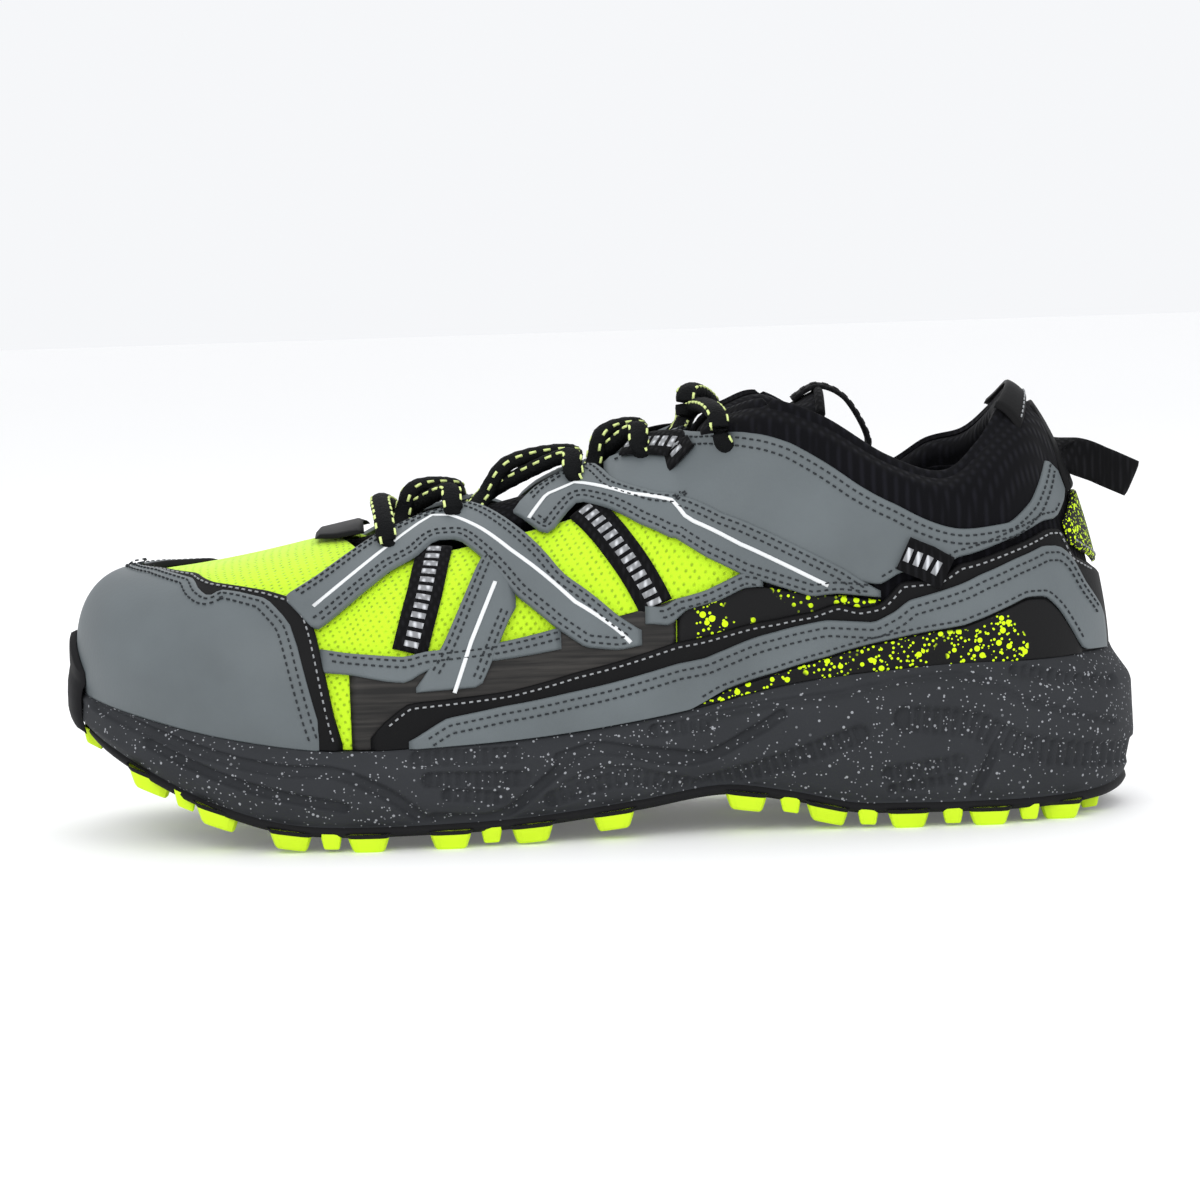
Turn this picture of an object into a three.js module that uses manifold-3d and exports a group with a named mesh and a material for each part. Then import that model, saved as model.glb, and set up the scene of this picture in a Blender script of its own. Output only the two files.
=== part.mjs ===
// Trail running shoe, left foot, built as an assembly of the pieces it is cut, moulded and laced from.
// Millimetres. +Z up, -X toe, +X heel, -Y lateral (outer) side, +Y medial (inner) side.
// The upper is a stack of thin layers, each a slab between two offsets of one surface, the skin.
// A place on the skin is (s, v): s is the station, 0 at the heel centre to 17 at the toe centre,
// and v runs from 0 at the feather line, where upper meets midsole, to 1 at the topline or ridge.

import * as THREE from 'three'
import { mergeVertices } from 'three/addons/utils/BufferGeometryUtils.js'
import Module from 'manifold-3d'

const wasm = await Module()
wasm.setup()

// ---------- driving dimensions ----------
const shoeLength = 283 // toe end to heel end of the foot outline
const shoeWidth = 99 // foot outline across the ball
const drawnLength = 283 // length and width that the station table below is drawn at
const drawnWidth = 99
const gap = 0.3 // clearance between any two pieces that touch

const textileThick = 1.2 // mesh body of the upper
const overlayThick = 0.8 // film and webbing
const strapThick = 1.2 // synthetic straps, toe cap, quarter
const foxingThick = 1.0 // second skin over the straps near the midsole
const stiffenerThick = 0.8 // toe puff and heel counter
const liningThick = 2.0
const collarThick = 5.0 // foam round the ankle opening
const tongueThick = 6.0

const recessDepth = 8.0 // how deep the insole sits in the midsole
const recessInset = 5.0 // from the feather line in to the recess wall
const strobelThick = 2.0
const insoleThick = 4.8
const midsoleRim = 3.2 // midsole past the feather line at its top
const lugPlateThick = 0.7
const outsoleThick = 1.6
const lugHeight = 4.0 // below the outsole
const lugClearance = 0.35 // round each lug where it passes the outsole

const laceWidth = 5.0
const webbingWidth = 11
const loopThick = 1.6

// ---------- offsets of the layers from the skin, outward positive ----------
const textile = [-textileThick, 0]
const overlay = [gap, gap + overlayThick]
const strap = [overlay[1] + gap, overlay[1] + gap + strapThick]
const foxing = [strap[1] + gap, strap[1] + gap + foxingThick]
const stiffener = [textile[0] - gap - stiffenerThick, textile[0] - gap]
const lining = [stiffener[0] - gap - liningThick, stiffener[0] - gap]
const collar = [lining[0] - gap - collarThick, lining[0] - gap]
const laceRoom = laceWidth + 1.3 // from the straps' inner face to the tongue, for a lace passing under them
const tongueDrop = Math.max(0, laceRoom - (strap[0] - lining[0] + gap)) // a thick lace pushes the tongue down
const tongue = [lining[0] - gap - tongueDrop - tongueThick, lining[0] - gap - tongueDrop]

// ---------- stations of the skin ----------
// foot x, lateral y, medial y at the feather line; top x, half opening or ridge y,
// lateral z, medial z at the top; roundness and bulge of the wall between them.
const stations = [
  [139, 0, 0, 114, 0, 116, 116, 1.5, 0],
  [132, -19.5, 19.5, 111, 13, 112, 111, 1.5, 0.5],
  [117, -32, 31.5, 104, 23, 103, 104, 1.5, 1.5],
  [98, -36, 35, 94, 29, 96, 101, 1.5, 2],
  [80, -36, 33, 79, 31.5, 101, 94, 1.55, 2],
  [61, -35.5, 30.5, 62, 32, 112, 107, 1.6, 1.5],
  [44, -36, 29.5, 47, 28, 117, 116, 1.7, 1],
  [32, -37, 30, 36, 18, 114, 114, 1.8, 1],
  [20, -39, 31.5, 26, 0, 110, 110, 1.9, 1],
  [0, -42, 35, 0, 0, 99, 99, 1.9, 1],
  [-25, -46, 41, -28, 0, 91.5, 91.5, 1.9, 2],
  [-50, -49, 46.5, -54, 0.5, 85.5, 85.5, 2, 2.5],
  [-75, -49.5, 49.5, -77, 2, 80.5, 80.5, 2.1, 3],
  [-98, -45, 48.5, -95, 3, 76.5, 76.5, 2.2, 3],
  [-117, -35.5, 42.5, -108, 4, 74, 74, 2.3, 3],
  [-132, -21.5, 32.5, -117, 5, 72.8, 72.8, 2.3, 2.5],
  [-141, -6, 21, -123, 5.5, 72, 72, 2.3, 2],
  [-144, 8, 8, -127, 6, 71.5, 71.5, 2.3, 2],
]
const toeStation = stations.length - 1
const throatStation = 8 // behind it the top is the ankle opening, ahead of it the ridge
const featherHeights = [
  [-147, 41], [-127, 36.5], [-100, 31], [-72, 27.5], [-44, 28], [-10, 30],
  [20, 34], [51, 40.5], [77, 44], [99, 45.5], [140, 44.5],
]
const soleHeights = [ // underside of the midsole above the ground
  [-150, 36], [-141, 30], [-122, 21], [-106, 14], [-89, 8.7], [-73, 6.9], [-39, 6.9], [-20, 7.6],
  [8, 10.5], [31, 13.5], [50, 11], [67, 7.4], [80, 6.9], [125, 6.9], [137, 8], [150, 13],
]
const soleFlare = [[-144, 4], [-120, 6], [-60, 7], [30, 7.5], [100, 8], [132, 9]]
const lateral = -1
const medial = 1
const sides = [lateral, medial]

const lengthScale = shoeLength / drawnLength
const widthScale = shoeWidth / drawnWidth

// Smooth curve through [x, y] points, read at x (in drawn millimetres).
function through(points, x) {
  const last = points.length - 1
  const at = (i) => points[Math.min(Math.max(i, 0), last)]
  const slope = (i) => (at(i + 1)[1] - at(i - 1)[1]) / (at(i + 1)[0] - at(i - 1)[0])
  let i = 0
  while (i < last - 1 && x > points[i + 1][0]) i += 1
  const width = points[i + 1][0] - points[i][0]
  const t = Math.min(Math.max((x - points[i][0]) / width, 0), 1)
  const rise = points[i + 1][1] - points[i][1]
  const m0 = slope(i) * width
  const m1 = slope(i + 1) * width
  return points[i][1] + t * m0 + t * t * (3 * rise - 2 * m0 - m1) + t * t * t * (m0 + m1 - 2 * rise)
}

function catmull(p, t) {
  return p[0].map((_, k) => 0.5 * (2 * p[1][k] + (p[2][k] - p[0][k]) * t
    + (2 * p[0][k] - 5 * p[1][k] + 4 * p[2][k] - p[3][k]) * t * t
    + (3 * p[1][k] - p[0][k] - 3 * p[2][k] + p[3][k]) * t * t * t))
}

// A station row, mirrored to the other side past the heel or the toe.
function row(index, side) {
  const folded = Math.abs(index) > toeStation ? 2 * toeStation - Math.abs(index) : Math.abs(index)
  const crossed = index < 0 || index > toeStation
  return { data: stations[folded], folded, side: crossed ? -side : side }
}

function footPoint(index, side) {
  const at = row(index, side)
  return [at.data[0], at.side === lateral ? at.data[1] : at.data[2]]
}

function topPoint(index, side) {
  const at = row(index, side)
  const y = at.folded < throatStation ? at.side * at.data[4] : at.data[4]
  return [at.data[3], y, at.side === lateral ? at.data[5] : at.data[6]]
}

function span(s) {
  const i = Math.min(Math.max(Math.floor(s), 0), toeStation - 1)
  return [i, s - i]
}

function foot(s, side) {
  const [i, t] = span(s)
  return catmull([i - 1, i, i + 1, i + 2].map((k) => footPoint(k, side)), t)
}

function topline(s, side) {
  const [i, t] = span(s)
  const p = [i - 1, i, i + 1, i + 2].map((k) => topPoint(k, side))
  if (i === throatStation - 1) p[3] = topPoint(throatStation - 1, -side)
  if (i === throatStation) p[0] = p[1].map((value, k) => 2 * value - p[2][k])
  return catmull(p, t)
}

function wall(s, column) {
  const [i, t] = span(s)
  return catmull([i - 1, i, i + 1, i + 2].map((k) => [row(k, lateral).data[column]]), t)[0]
}

// Horizontal unit vector pointing out of the foot outline.
function outward(s, side) {
  const step = 0.001
  const a = foot(Math.max(s - step, 0), side)
  const b = foot(Math.min(s + step, toeStation), side)
  const length = Math.hypot(b[0] - a[0], b[1] - a[1])
  return [-side * (b[1] - a[1]) / length, side * (b[0] - a[0]) / length].map((c) => -c)
}

function skin(s, v, side) {
  const angle = v * Math.PI / 2
  const power = 2 / wall(s, 7)
  const inward = 1 - Math.abs(Math.cos(angle)) ** power
  const rise = Math.abs(Math.sin(angle)) ** power
  const bulge = wall(s, 8) * Math.sin(Math.PI * v)
  const [fx, fy] = foot(s, side)
  const [tx, ty, tz] = topline(s, side)
  const out = outward(s, side)
  const fz = through(featherHeights, fx)
  return new THREE.Vector3(
    (fx + (tx - fx) * inward + out[0] * bulge) * lengthScale,
    (fy + (ty - fy) * inward + out[1] * bulge) * widthScale,
    fz + (tz - fz) * rise)
}

function skinNormal(s, v, side) {
  const step = 0.002
  const along = skin(Math.min(s + step, toeStation), v, side).sub(skin(Math.max(s - step, 0), v, side))
  const up = skin(s, Math.min(v + step, 1), side).sub(skin(s, Math.max(v - step, 0), side))
  const n = along.cross(up).normalize()
  return side === lateral ? n.negate() : n
}

// ---------- the grid that every layer shares ----------
// Columns stand closer where the outline turns, round the heel and the toe.
const heelTurn = 2
const toeTurn = 13
const columnStations = []
for (let s = 0; s <= toeStation; s += s < heelTurn || s >= toeTurn ? 0.5 : 1) columnStations.push(s)
const columns = columnStations.length - 1
const rows = 4
const isRidge = (s, v) => v === 1 && s >= throatStation
const isSeam = (s) => s === 0 || s === toeStation

function makeGrid(side) {
  const grid = []
  for (let i = 0; i <= columns; i += 1) {
    grid.push([])
    for (let j = 0; j <= rows; j += 1) {
      const s = columnStations[i]
      const v = j / rows
      const normal = skinNormal(s, v, side)
      if (isRidge(s, v) || isSeam(s)) normal.add(skinNormal(s, v, -side))
      if (j === 0) normal.z = 0
      const owner = isRidge(s, v) || isSeam(s) ? lateral : side
      grid[i].push({ point: skin(s, v, owner), normal: normal.normalize() })
    }
  }
  return grid
}
const grids = { [lateral]: makeGrid(lateral), [medial]: makeGrid(medial) }

// Station to column number, with its fraction.
function toColumn(s) {
  let i = 0
  while (i < columns - 1 && s > columnStations[i + 1]) i += 1
  return i + (s - columnStations[i]) / (columnStations[i + 1] - columnStations[i])
}

// Point of a layer over grid place (a, b), in cells, on the flat triangle that holds it.
function onGrid(side, a, b, offset) {
  const i = Math.min(Math.floor(a + 1e-9), columns - 1)
  const j = Math.min(Math.floor(b + 1e-9), rows - 1)
  const fa = a - i
  const fb = b - j
  const corner = (di, dj) => {
    const node = grids[side][i + di][j + dj]
    return node.point.clone().addScaledVector(node.normal, offset)
  }
  const p = corner(0, 0)
  const q = corner(1, 1)
  const r = fa >= fb ? corner(1, 0) : corner(0, 1)
  const weightQ = Math.min(fa, fb)
  const weightR = Math.abs(fa - fb)
  return p.multiplyScalar(1 - weightQ - weightR).addScaledVector(q, weightQ).addScaledVector(r, weightR)
}

// Part of a convex polygon on the side of a line where a*x + b*y <= c.
function clip(polygon, a, b, c) {
  const result = []
  polygon.forEach((p, k) => {
    const q = polygon[(k + 1) % polygon.length]
    const dp = a * p[0] + b * p[1] - c
    const dq = a * q[0] + b * q[1] - c
    if (dp <= 1e-9) result.push(p)
    if ((dp < -1e-9 && dq > 1e-9) || (dp > 1e-9 && dq < -1e-9)) {
      const t = dp / (dp - dq)
      result.push([p[0] + t * (q[0] - p[0]), p[1] + t * (q[1] - p[1])])
    }
  })
  return result
}

// Height of an edge curve at station s. An edge is a list of [s, v] points.
function edgeAt(edge, s) {
  let k = 0
  while (k < edge.length - 2 && s > edge[k + 1][0]) k += 1
  const t = (s - edge[k][0]) / (edge[k + 1][0] - edge[k][0])
  return edge[k][1] + Math.min(Math.max(t, 0), 1) * (edge[k + 1][1] - edge[k][1])
}

// Trapezoids between a lower and an upper edge, one for each stretch with no corner or column in it.
function trapezoids(lower, upper) {
  const start = Math.max(lower[0][0], upper[0][0])
  const end = Math.min(lower.at(-1)[0], upper.at(-1)[0])
  const cuts = [...lower, ...upper].map((p) => p[0])
  cuts.push(...columnStations)
  const stops = [...new Set(cuts.filter((s) => s >= start && s <= end).map((s) => +s.toFixed(6)))]
  stops.sort((p, q) => p - q)
  return stops.slice(1).map((s1, k) => {
    const s0 = stops[k]
    const low = [edgeAt(lower, s0), edgeAt(lower, s1)]
    const high = [edgeAt(upper, s0), edgeAt(upper, s1)]
    const quad = [[s0, low[0]], [s1, low[1]], [s1, high[1]], [s0, high[0]]]
    return quad.map(([s, v]) => [toColumn(s), v * rows])
  })
}

// Closed solid from a list of polygons of vertices, joined where vertices meet.
function solidFromFaces(faces) {
  const positions = []
  faces.forEach((face) => {
    for (let k = 2; k < face.length; k += 1) {
      [face[0], face[k - 1], face[k]].forEach((p) => positions.push(p.x, p.y, p.z))
    }
  })
  const raw = new THREE.BufferGeometry()
  raw.setAttribute('position', new THREE.Float32BufferAttribute(positions, 3))
  return toSolid(raw)
}

function toSolid(geometry) {
  const bare = geometry.index ? geometry.clone() : geometry
  bare.deleteAttribute('normal')
  bare.deleteAttribute('uv')
  const merged = mergeVertices(bare, 1e-4)
  const index = merged.index.array
  const kept = []
  for (let k = 0; k < index.length; k += 3) {
    const [a, b, c] = [index[k], index[k + 1], index[k + 2]]
    if (a !== b && b !== c && c !== a) kept.push(a, b, c)
  }
  return new wasm.Manifold(new wasm.Mesh({
    numProp: 3,
    vertProperties: new Float32Array(merged.attributes.position.array),
    triVerts: new Uint32Array(kept),
  }))
}

function toGeometry(solid) {
  const mesh = solid.getMesh()
  const geometry = new THREE.BufferGeometry()
  geometry.setAttribute('position', new THREE.BufferAttribute(mesh.vertProperties, 3))
  geometry.setIndex(new THREE.BufferAttribute(mesh.triVerts, 1))
  return geometry
}

// A layer piece: the slab between two offsets, over the bands given on each side.
function slab(bands, [inner, outer]) {
  const cells = []
  bands.forEach(({ side, lower, upper }) => {
    trapezoids(lower, upper).forEach((quad) => {
      const i = Math.floor((quad[0][0] + quad[1][0]) / 2)
      for (let j = 0; j < rows; j += 1) {
        const strip = clip(clip(quad, 0, -1, -j), 0, 1, j + 1)
        const halves = [clip(strip, -1, 1, j - i), clip(strip, 1, -1, i - j)]
        halves.filter((part) => part.length > 2 && area(part) > 1e-7).forEach((part) => {
          cells.push({ side, polygon: side === lateral ? part.reverse() : part })
        })
      }
    })
  })
  const place = (side, p, offset) => onGrid(side, p[0], p[1], offset)
  const faces = []
  const edges = new Map()
  const key = (p) => `${p.x.toFixed(3)},${p.y.toFixed(3)},${p.z.toFixed(3)}`
  cells.forEach(({ side, polygon }) => {
    const outside = polygon.map((p) => place(side, p, outer))
    const inside = polygon.map((p) => place(side, p, inner))
    faces.push(outside, [...inside].reverse())
    polygon.forEach((_, k) => {
      const next = (k + 1) % polygon.length
      const [from, to] = [key(outside[k]), key(outside[next])]
      if (from === to) return
      const back = `${to}|${from}`
      if (edges.has(back)) edges.delete(back)
      else edges.set(`${from}|${to}`, [outside[next], outside[k], inside[k], inside[next]])
    })
  })
  return solidFromFaces([...faces, ...edges.values()])
}

function area(polygon) {
  return Math.abs(polygon.reduce((sum, p, k) => {
    const q = polygon[(k + 1) % polygon.length]
    return sum + p[0] * q[1] - q[0] * p[1]
  }, 0)) / 2
}

function band(side, lower, upper) {
  return { side, lower, upper }
}

function onBothSides(lower, upper) {
  return sides.map((side) => band(side, lower, upper))
}

function onSkin(side, s, v, offset) {
  return onGrid(side, toColumn(s), v * rows, offset)
}

// ---------- outlines of the upper's pieces, as [s, v] edges from heel to toe ----------
const jointV = 0.012 // half of the gap between pieces that butt, in v
const textileSplit = 6 // station where heel mesh ends and vamp mesh begins
const splitGap = 0.02

const featherEdge = 0.02 // upper pieces end this far above the feather line, in v
const feather = [[0, featherEdge], [toeStation, featherEdge]]
const heelMeshTop = [[0, 1], [textileSplit - splitGap, 1]]
const vampTop = [[textileSplit, 1], [7.1, 1], [7.5, 0.86], [8, 0.7], [8.3, 0.66], [11.35, 0.64], [11.6, 0.8],
  [11.85, 1], [toeStation, 1]]
const liningTop = [[0, 1], ...vampTop.slice(1)]

const toeCapTop = [[12, 0.03], [12.15, 0.2], [12.3, 0.41], [12.6, 0.53], [13, 0.58], [13.25, 0.6], [13.4, 0.56],
  [13.6, 0.61], [13.75, 0.69], [14.2, 0.75], [14.7, 0.81], [16.6, 0.96], [toeStation, 1]]
const foxingTop = [[0, 0.24], [0.3, 0.26], [0.7, 0.29], [1.1, 0.33], [1.2, 0.41], [1.5, 0.43], [2.4, 0.42],
  [3, 0.41], [3.3, 0.36], [3.9, 0.33], [4.2, 0.25], [4.5, 0.23], [4.8, 0.24], [5.2, 0.21], [5.8, 0.19],
  [7.4, 0.17], [9.3, 0.16], [10, 0.14], [11.1, 0.13], [11.4, 0.07], [11.5, 0.03]]
const printTop = [[0.5, 0.08], [0.6, 0.16], [1, 0.25], [1.2, 0.33], [1.4, 0.37], [1.7, 0.39], [2.2, 0.38],
  [2.7, 0.36], [3.2, 0.32], [3.8, 0.27], [4, 0.23], [4.3, 0.19], [5, 0.19], [5.8, 0.16], [7.4, 0.12],
  [9.4, 0.11], [10.1, 0.1], [10.7, 0.08], [11.1, 0.02]]
const printBottom = [[0.5, 0.01], [1.2, 0.02], [1.4, 0.11], [1.6, 0.19], [1.8, 0.24], [2.1, 0.25], [2.5, 0.22],
  [3, 0.18], [3.5, 0.16], [4.3, 0.12], [5, 0.08], [5.8, 0.05], [7, 0.03], [7.8, 0.01], [11.1, 0.01]]
const mudguardTop = [[4.2, 0.26], [5.4, 0.26], [6.5, 0.28], [8.2, 0.27], [9.5, 0.29], [11.1, 0.27], [11.7, 0.3]]
const toeTrimTop = [[11.8, 0.03], [11.88, 0.1], [11.95, 0.22], [12.02, 0.36], [12.1, 0.45], [12.25, 0.52],
  [12.6, 0.575], [13, 0.62], [13.25, 0.645], [13.4, 0.66], [13.6, 0.7], [13.75, 0.745], [14.2, 0.79],
  [14.7, 0.84], [16.6, 0.98], [toeStation, 1]]
const trimUnderCap = 0.05 // how far the trim runs under the cap, in v
const toeTrimBottom = [[11.8, featherEdge], [12.15, featherEdge], [12.4, 0.36], [12.7, 0.48],
  ...toeCapTop.filter(([s]) => s >= 13).map(([s, v]) => [s, v - trimUnderCap])]

const frontStrapTop = [[8.5, 0.22], [8.8, 0.28], [9.1, 0.36], [9.4, 0.44], [9.6, 0.54], [9.9, 0.68],
  [10.15, 0.8], [10.3, 0.86], [10.8, 0.85], [11.3, 0.78], [11.6, 0.71], [12, 0.61], [12.4, 0.53]]
const frontStrapBottom = [[8.5, 0.185], [8.8, 0.19], [9.2, 0.22], [9.5, 0.29], [9.9, 0.41], [10.2, 0.55],
  [10.45, 0.66], [10.7, 0.68], [10.9, 0.62], [11.2, 0.58], [11.5, 0.51], [11.9, 0.41], [12.05, 0.38],
  [12.4, 0.52]]
const frontLegTop = [[9.9, 0.45], [10.2, 0.58], [10.4, 0.46], [10.7, 0.29], [10.9, 0.21], [11, 0.17]]
const frontLegBottom = [[9.9, 0.38], [10, 0.33], [10.2, 0.22], [10.3, 0.16], [11, 0.16]]
const waveTop = [[9.45, 0.29], [10.1, 0.28], [10.9, 0.28], [11.1, 0.27], [11.3, 0.28], [11.7, 0.3], [12, 0.32]]
const waveBottom = [[9.45, 0.23], [10.2, 0.23], [10.9, 0.22], [11.1, 0.19], [11.3, 0.2], [11.7, 0.23],
  [12, 0.24]]

const midStrapTop = [[4.2, 0.29], [4.7, 0.34], [5.4, 0.38], [6.1, 0.42], [6.9, 0.47], [7.6, 0.53], [8, 0.55],
  [8.3, 0.59], [8.6, 0.66], [8.8, 0.72], [9, 0.88], [9.3, 0.9], [9.6, 0.83], [9.85, 0.73]]
const midStrapBottom = [[4.2, 0.27], [4.8, 0.265], [5.2, 0.25], [5.7, 0.27], [6.4, 0.3], [7.3, 0.36], [8.1, 0.43],
  [8.5, 0.51], [8.9, 0.62], [9.2, 0.69], [9.35, 0.64], [9.5, 0.585], [9.6, 0.6], [9.75, 0.67], [9.85, 0.725]]
const rearWaveTop = [[6, 0.3], [6.4, 0.31], [7.3, 0.28], [8, 0.27], [8.2, 0.26], [8.45, 0.28]]
const rearWaveBottom = [[6, 0.27], [6.4, 0.27], [7, 0.25], [7.8, 0.24], [8.1, 0.21], [8.45, 0.235]]

const quarterTop = [[0.6, 0.54], [0.9, 0.61], [1.6, 0.53], [2.1, 0.5], [3, 0.55], [3.9, 0.61], [4.5, 0.63],
  [5.5, 0.69], [6.2, 0.71], [7.4, 0.78], [8.3, 0.87], [8.9, 0.88]]
const quarterBottom = [[0.6, 0.5], [0.8, 0.47], [1.2, 0.44], [1.5, 0.455], [2.4, 0.445], [3, 0.435], [3.3, 0.39],
  [3.9, 0.36], [4.2, 0.31], [4.7, 0.36], [5.4, 0.4], [6.1, 0.44], [6.9, 0.49], [7.6, 0.55], [8, 0.57],
  [8.3, 0.61], [8.6, 0.68], [8.78, 0.74], [8.9, 0.86]]
const backstayTop = [[0, 0.8], [0.42, 0.78], [0.55, 0.46], [1.05, 0.42]]
const backstayBottom = [[0, 0.27], [0.3, 0.29], [0.7, 0.32], [1.05, 0.36]]
const heelTabBottom = [[0, 0.83], [0.5, 0.81], [1.2, 0.76]]
const vampPointBottom = [[11.55, 0.8], [12.1, 0.8], [12.4, 0.86]]

// ---------- eyelets and lace ----------
const eyelets = [[11.2, 0.7], [10.45, 0.79], [9.2, 0.8], [8.45, 0.78], [6.8, 0.68]]
const eyeletRadius = laceWidth / 2 + 2.3
const drillReach = 9

function drill(side, [s, v], radius) {
  const centre = onSkin(side, s, v, 0)
  const direction = onSkin(side, s, v, 1).sub(centre).normalize()
  const bit = new THREE.CylinderGeometry(radius, radius, 2 * drillReach, 8)
  bit.applyQuaternion(new THREE.Quaternion().setFromUnitVectors(new THREE.Vector3(0, 1, 0), direction))
  bit.translate(centre.x, centre.y, centre.z)
  return toSolid(bit)
}

function withEyelets(solid, side) {
  return eyelets.reduce((left, at) => left.subtract(drill(side, at, eyeletRadius)), solid)
}

// ---------- the sole: lofts between rings that follow the foot outline ----------
const soleStations = Array.from({ length: 2 * toeStation + 1 }, (_, k) => k / 2)
const lastSole = soleStations.length - 1

function ring(outset, height) {
  const at = (s, side) => {
    const [x, y] = foot(s, side)
    const out = outward(s, side)
    const reach = outset(x)
    const px = x + out[0] * reach
    return new THREE.Vector3(px * lengthScale, (y + out[1] * reach) * widthScale, height(px))
  }
  const inner = soleStations.slice(1, -1).reverse()
  return [...soleStations.map((s) => at(s, lateral)), ...inner.map((s) => at(s, medial))]
}

function cap(points) {
  const count = points.length
  const faces = []
  for (let i = 0; i < lastSole; i += 1) {
    const across = [points[i], points[i + 1], points[(count - i - 1) % count], points[(count - i) % count]]
    faces.push(across.filter((p, k) => across.indexOf(p) === k))
  }
  return faces
}

// Closed solid through rings given from the bottom face, up the outside, to the top face.
function loft(rings) {
  const faces = cap(rings[0])
  rings.slice(1).forEach((upper, r) => {
    const lower = rings[r]
    upper.forEach((_, k) => {
      const next = (k + 1) % upper.length
      faces.push([lower[k], upper[k], upper[next], lower[next]])
    })
  })
  faces.push(...cap(rings.at(-1)).map((face) => face.reverse()))
  return solidFromFaces(faces)
}

function signedVolume(faces) {
  return faces.reduce((sum, face) => {
    for (let k = 2; k < face.length; k += 1) sum += face[0].dot(face[k - 1].clone().cross(face[k]))
    return sum
  }, 0)
}

const featherAt = (x) => through(featherHeights, x)
const soleAt = (x) => through(soleHeights, x)
const flareAt = (x) => through(soleFlare, x)
const lowerSoleAt = (x) => soleAt(x) - gap - lugPlateThick - gap
const recessAt = (x) => featherAt(x) - recessDepth

function sheet(outset, bottom, thickness) {
  return loft([ring(outset, bottom), ring(outset, (x) => bottom(x) + thickness)])
}

function makeMidsole() {
  const level = (share) => (x) => soleAt(x) + share * (featherAt(x) - gap - soleAt(x))
  return loft([
    ring((x) => flareAt(x) - 2.5, level(0)),
    ring(flareAt, level(0.3)),
    ring((x) => flareAt(x) - 0.5, level(0.75)),
    ring(() => midsoleRim, level(1)),
    ring(() => -recessInset, level(1)),
    ring(() => -recessInset - 0.5, recessAt),
  ])
}

// ---------- lugs ----------
const lugRowsX = [-124, -105, -85, -64, -42, -20, 2, 38, 60, 82, 104, 124]
const lugEdgeInset = 6 // lug centre inside the sole's edge
const lugRadius = 6.6 // across the corners at the root
const lugTaper = 0.72
const lugSides = 4
const lugPitch = 38 // across the sole, about

function outlineAt(x, side) {
  let [low, high] = [0, toeStation]
  for (let k = 0; k < 30; k += 1) {
    const middle = (low + high) / 2
    if (foot(middle, side)[0] > x) low = middle
    else high = middle
  }
  return foot(low, side)[1]
}

function lugPlaces() {
  return lugRowsX.flatMap((x) => {
    const edge = flareAt(x) - lugEdgeInset
    const y0 = outlineAt(x, lateral) - edge
    const y1 = outlineAt(x, medial) + edge
    const count = Math.max(2, Math.round((y1 - y0) / lugPitch) + 1)
    return Array.from({ length: count }, (_, k) => ({ x, y: y0 + (y1 - y0) * k / (count - 1), turn: k % 2 }))
  })
}

function lug({ x, y, turn }, grow) {
  const top = soleAt(x) - gap - lugPlateThick / 2
  const tip = Math.max(lowerSoleAt(x) - outsoleThick - lugHeight, 0) - grow * 3
  const shape = new THREE.CylinderGeometry(lugRadius + grow, lugRadius * lugTaper + grow, top - tip, lugSides)
  shape.rotateX(Math.PI / 2)
  shape.rotateZ(turn ? 0 : Math.PI / lugSides)
  shape.scale(1.15, 0.9, 1)
  const slope = soleAt(x + 1) - soleAt(x)
  const places = shape.attributes.position
  for (let k = 0; k < places.count; k += 1) {
    const z = places.getZ(k) + (top + tip) / 2 + slope * places.getX(k)
    places.setZ(k, Math.max(z, -grow * 3))
  }
  shape.translate(x * lengthScale, y * widthScale, 0)
  return toSolid(shape)
}

const soleEdge = (x) => flareAt(x) - 3
const makeLugPlate = () => lugPlaces().reduce((left, at) => left.add(lug(at, 0)),
  sheet(soleEdge, (x) => soleAt(x) - gap - lugPlateThick, lugPlateThick))
const makeOutsole = () => lugPlaces().reduce((left, at) => left.subtract(lug(at, lugClearance)),
  sheet(soleEdge, (x) => lowerSoleAt(x) - outsoleThick, outsoleThick))

// Rubber toe bumper: a band round the toe, from the sole's edge up over the front of the toe cap.
const bumperStation = 15.5
const bumperThick = 1.8
const bumperReach = strap[1] + 2.3 // inner face past the foot outline
const bumperLevels = [34, 42.5, 56] // heights of its rings

function makeBumper() {
  const path = []
  const wrapped = columnStations.filter((s) => s >= bumperStation)
  wrapped.forEach((s) => path.push([s, lateral]))
  wrapped.slice(0, -1).reverse().forEach((s) => path.push([s, medial]))
  const at = ([s, side], z, reach) => {
    const [x, y] = foot(s, side)
    const out = outward(s, side)
    return new THREE.Vector3((x + out[0] * reach) * lengthScale, (y + out[1] * reach) * widthScale, z)
  }
  const sections = path.map((place) => [
    ...bumperLevels.map((z) => at(place, z, bumperReach)),
    ...bumperLevels.map((z) => at(place, z, bumperReach + bumperThick)).reverse(),
  ])
  const faces = [[...sections[0]].reverse(), sections.at(-1)]
  sections.slice(1).forEach((next, k) => {
    const here = sections[k]
    here.forEach((_, m) => {
      const n = (m + 1) % here.length
      faces.push([here[m], here[n], next[n], next[m]])
    })
  })
  return solidFromFaces(signedVolume(faces) > 0 ? faces : faces.map((face) => [...face].reverse()))
}

// ---------- tongue and pull loops ----------
// Tongue top: cross-sections [x, underside z, half width] joined from the throat to the tip.
const tongueSections = [[30, 95.5, 11.5], [40, 100, 15], [52, 105.5, 18.5], [61, 110, 17]]
const tongueCrown = 3 // middle above the edges

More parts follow.
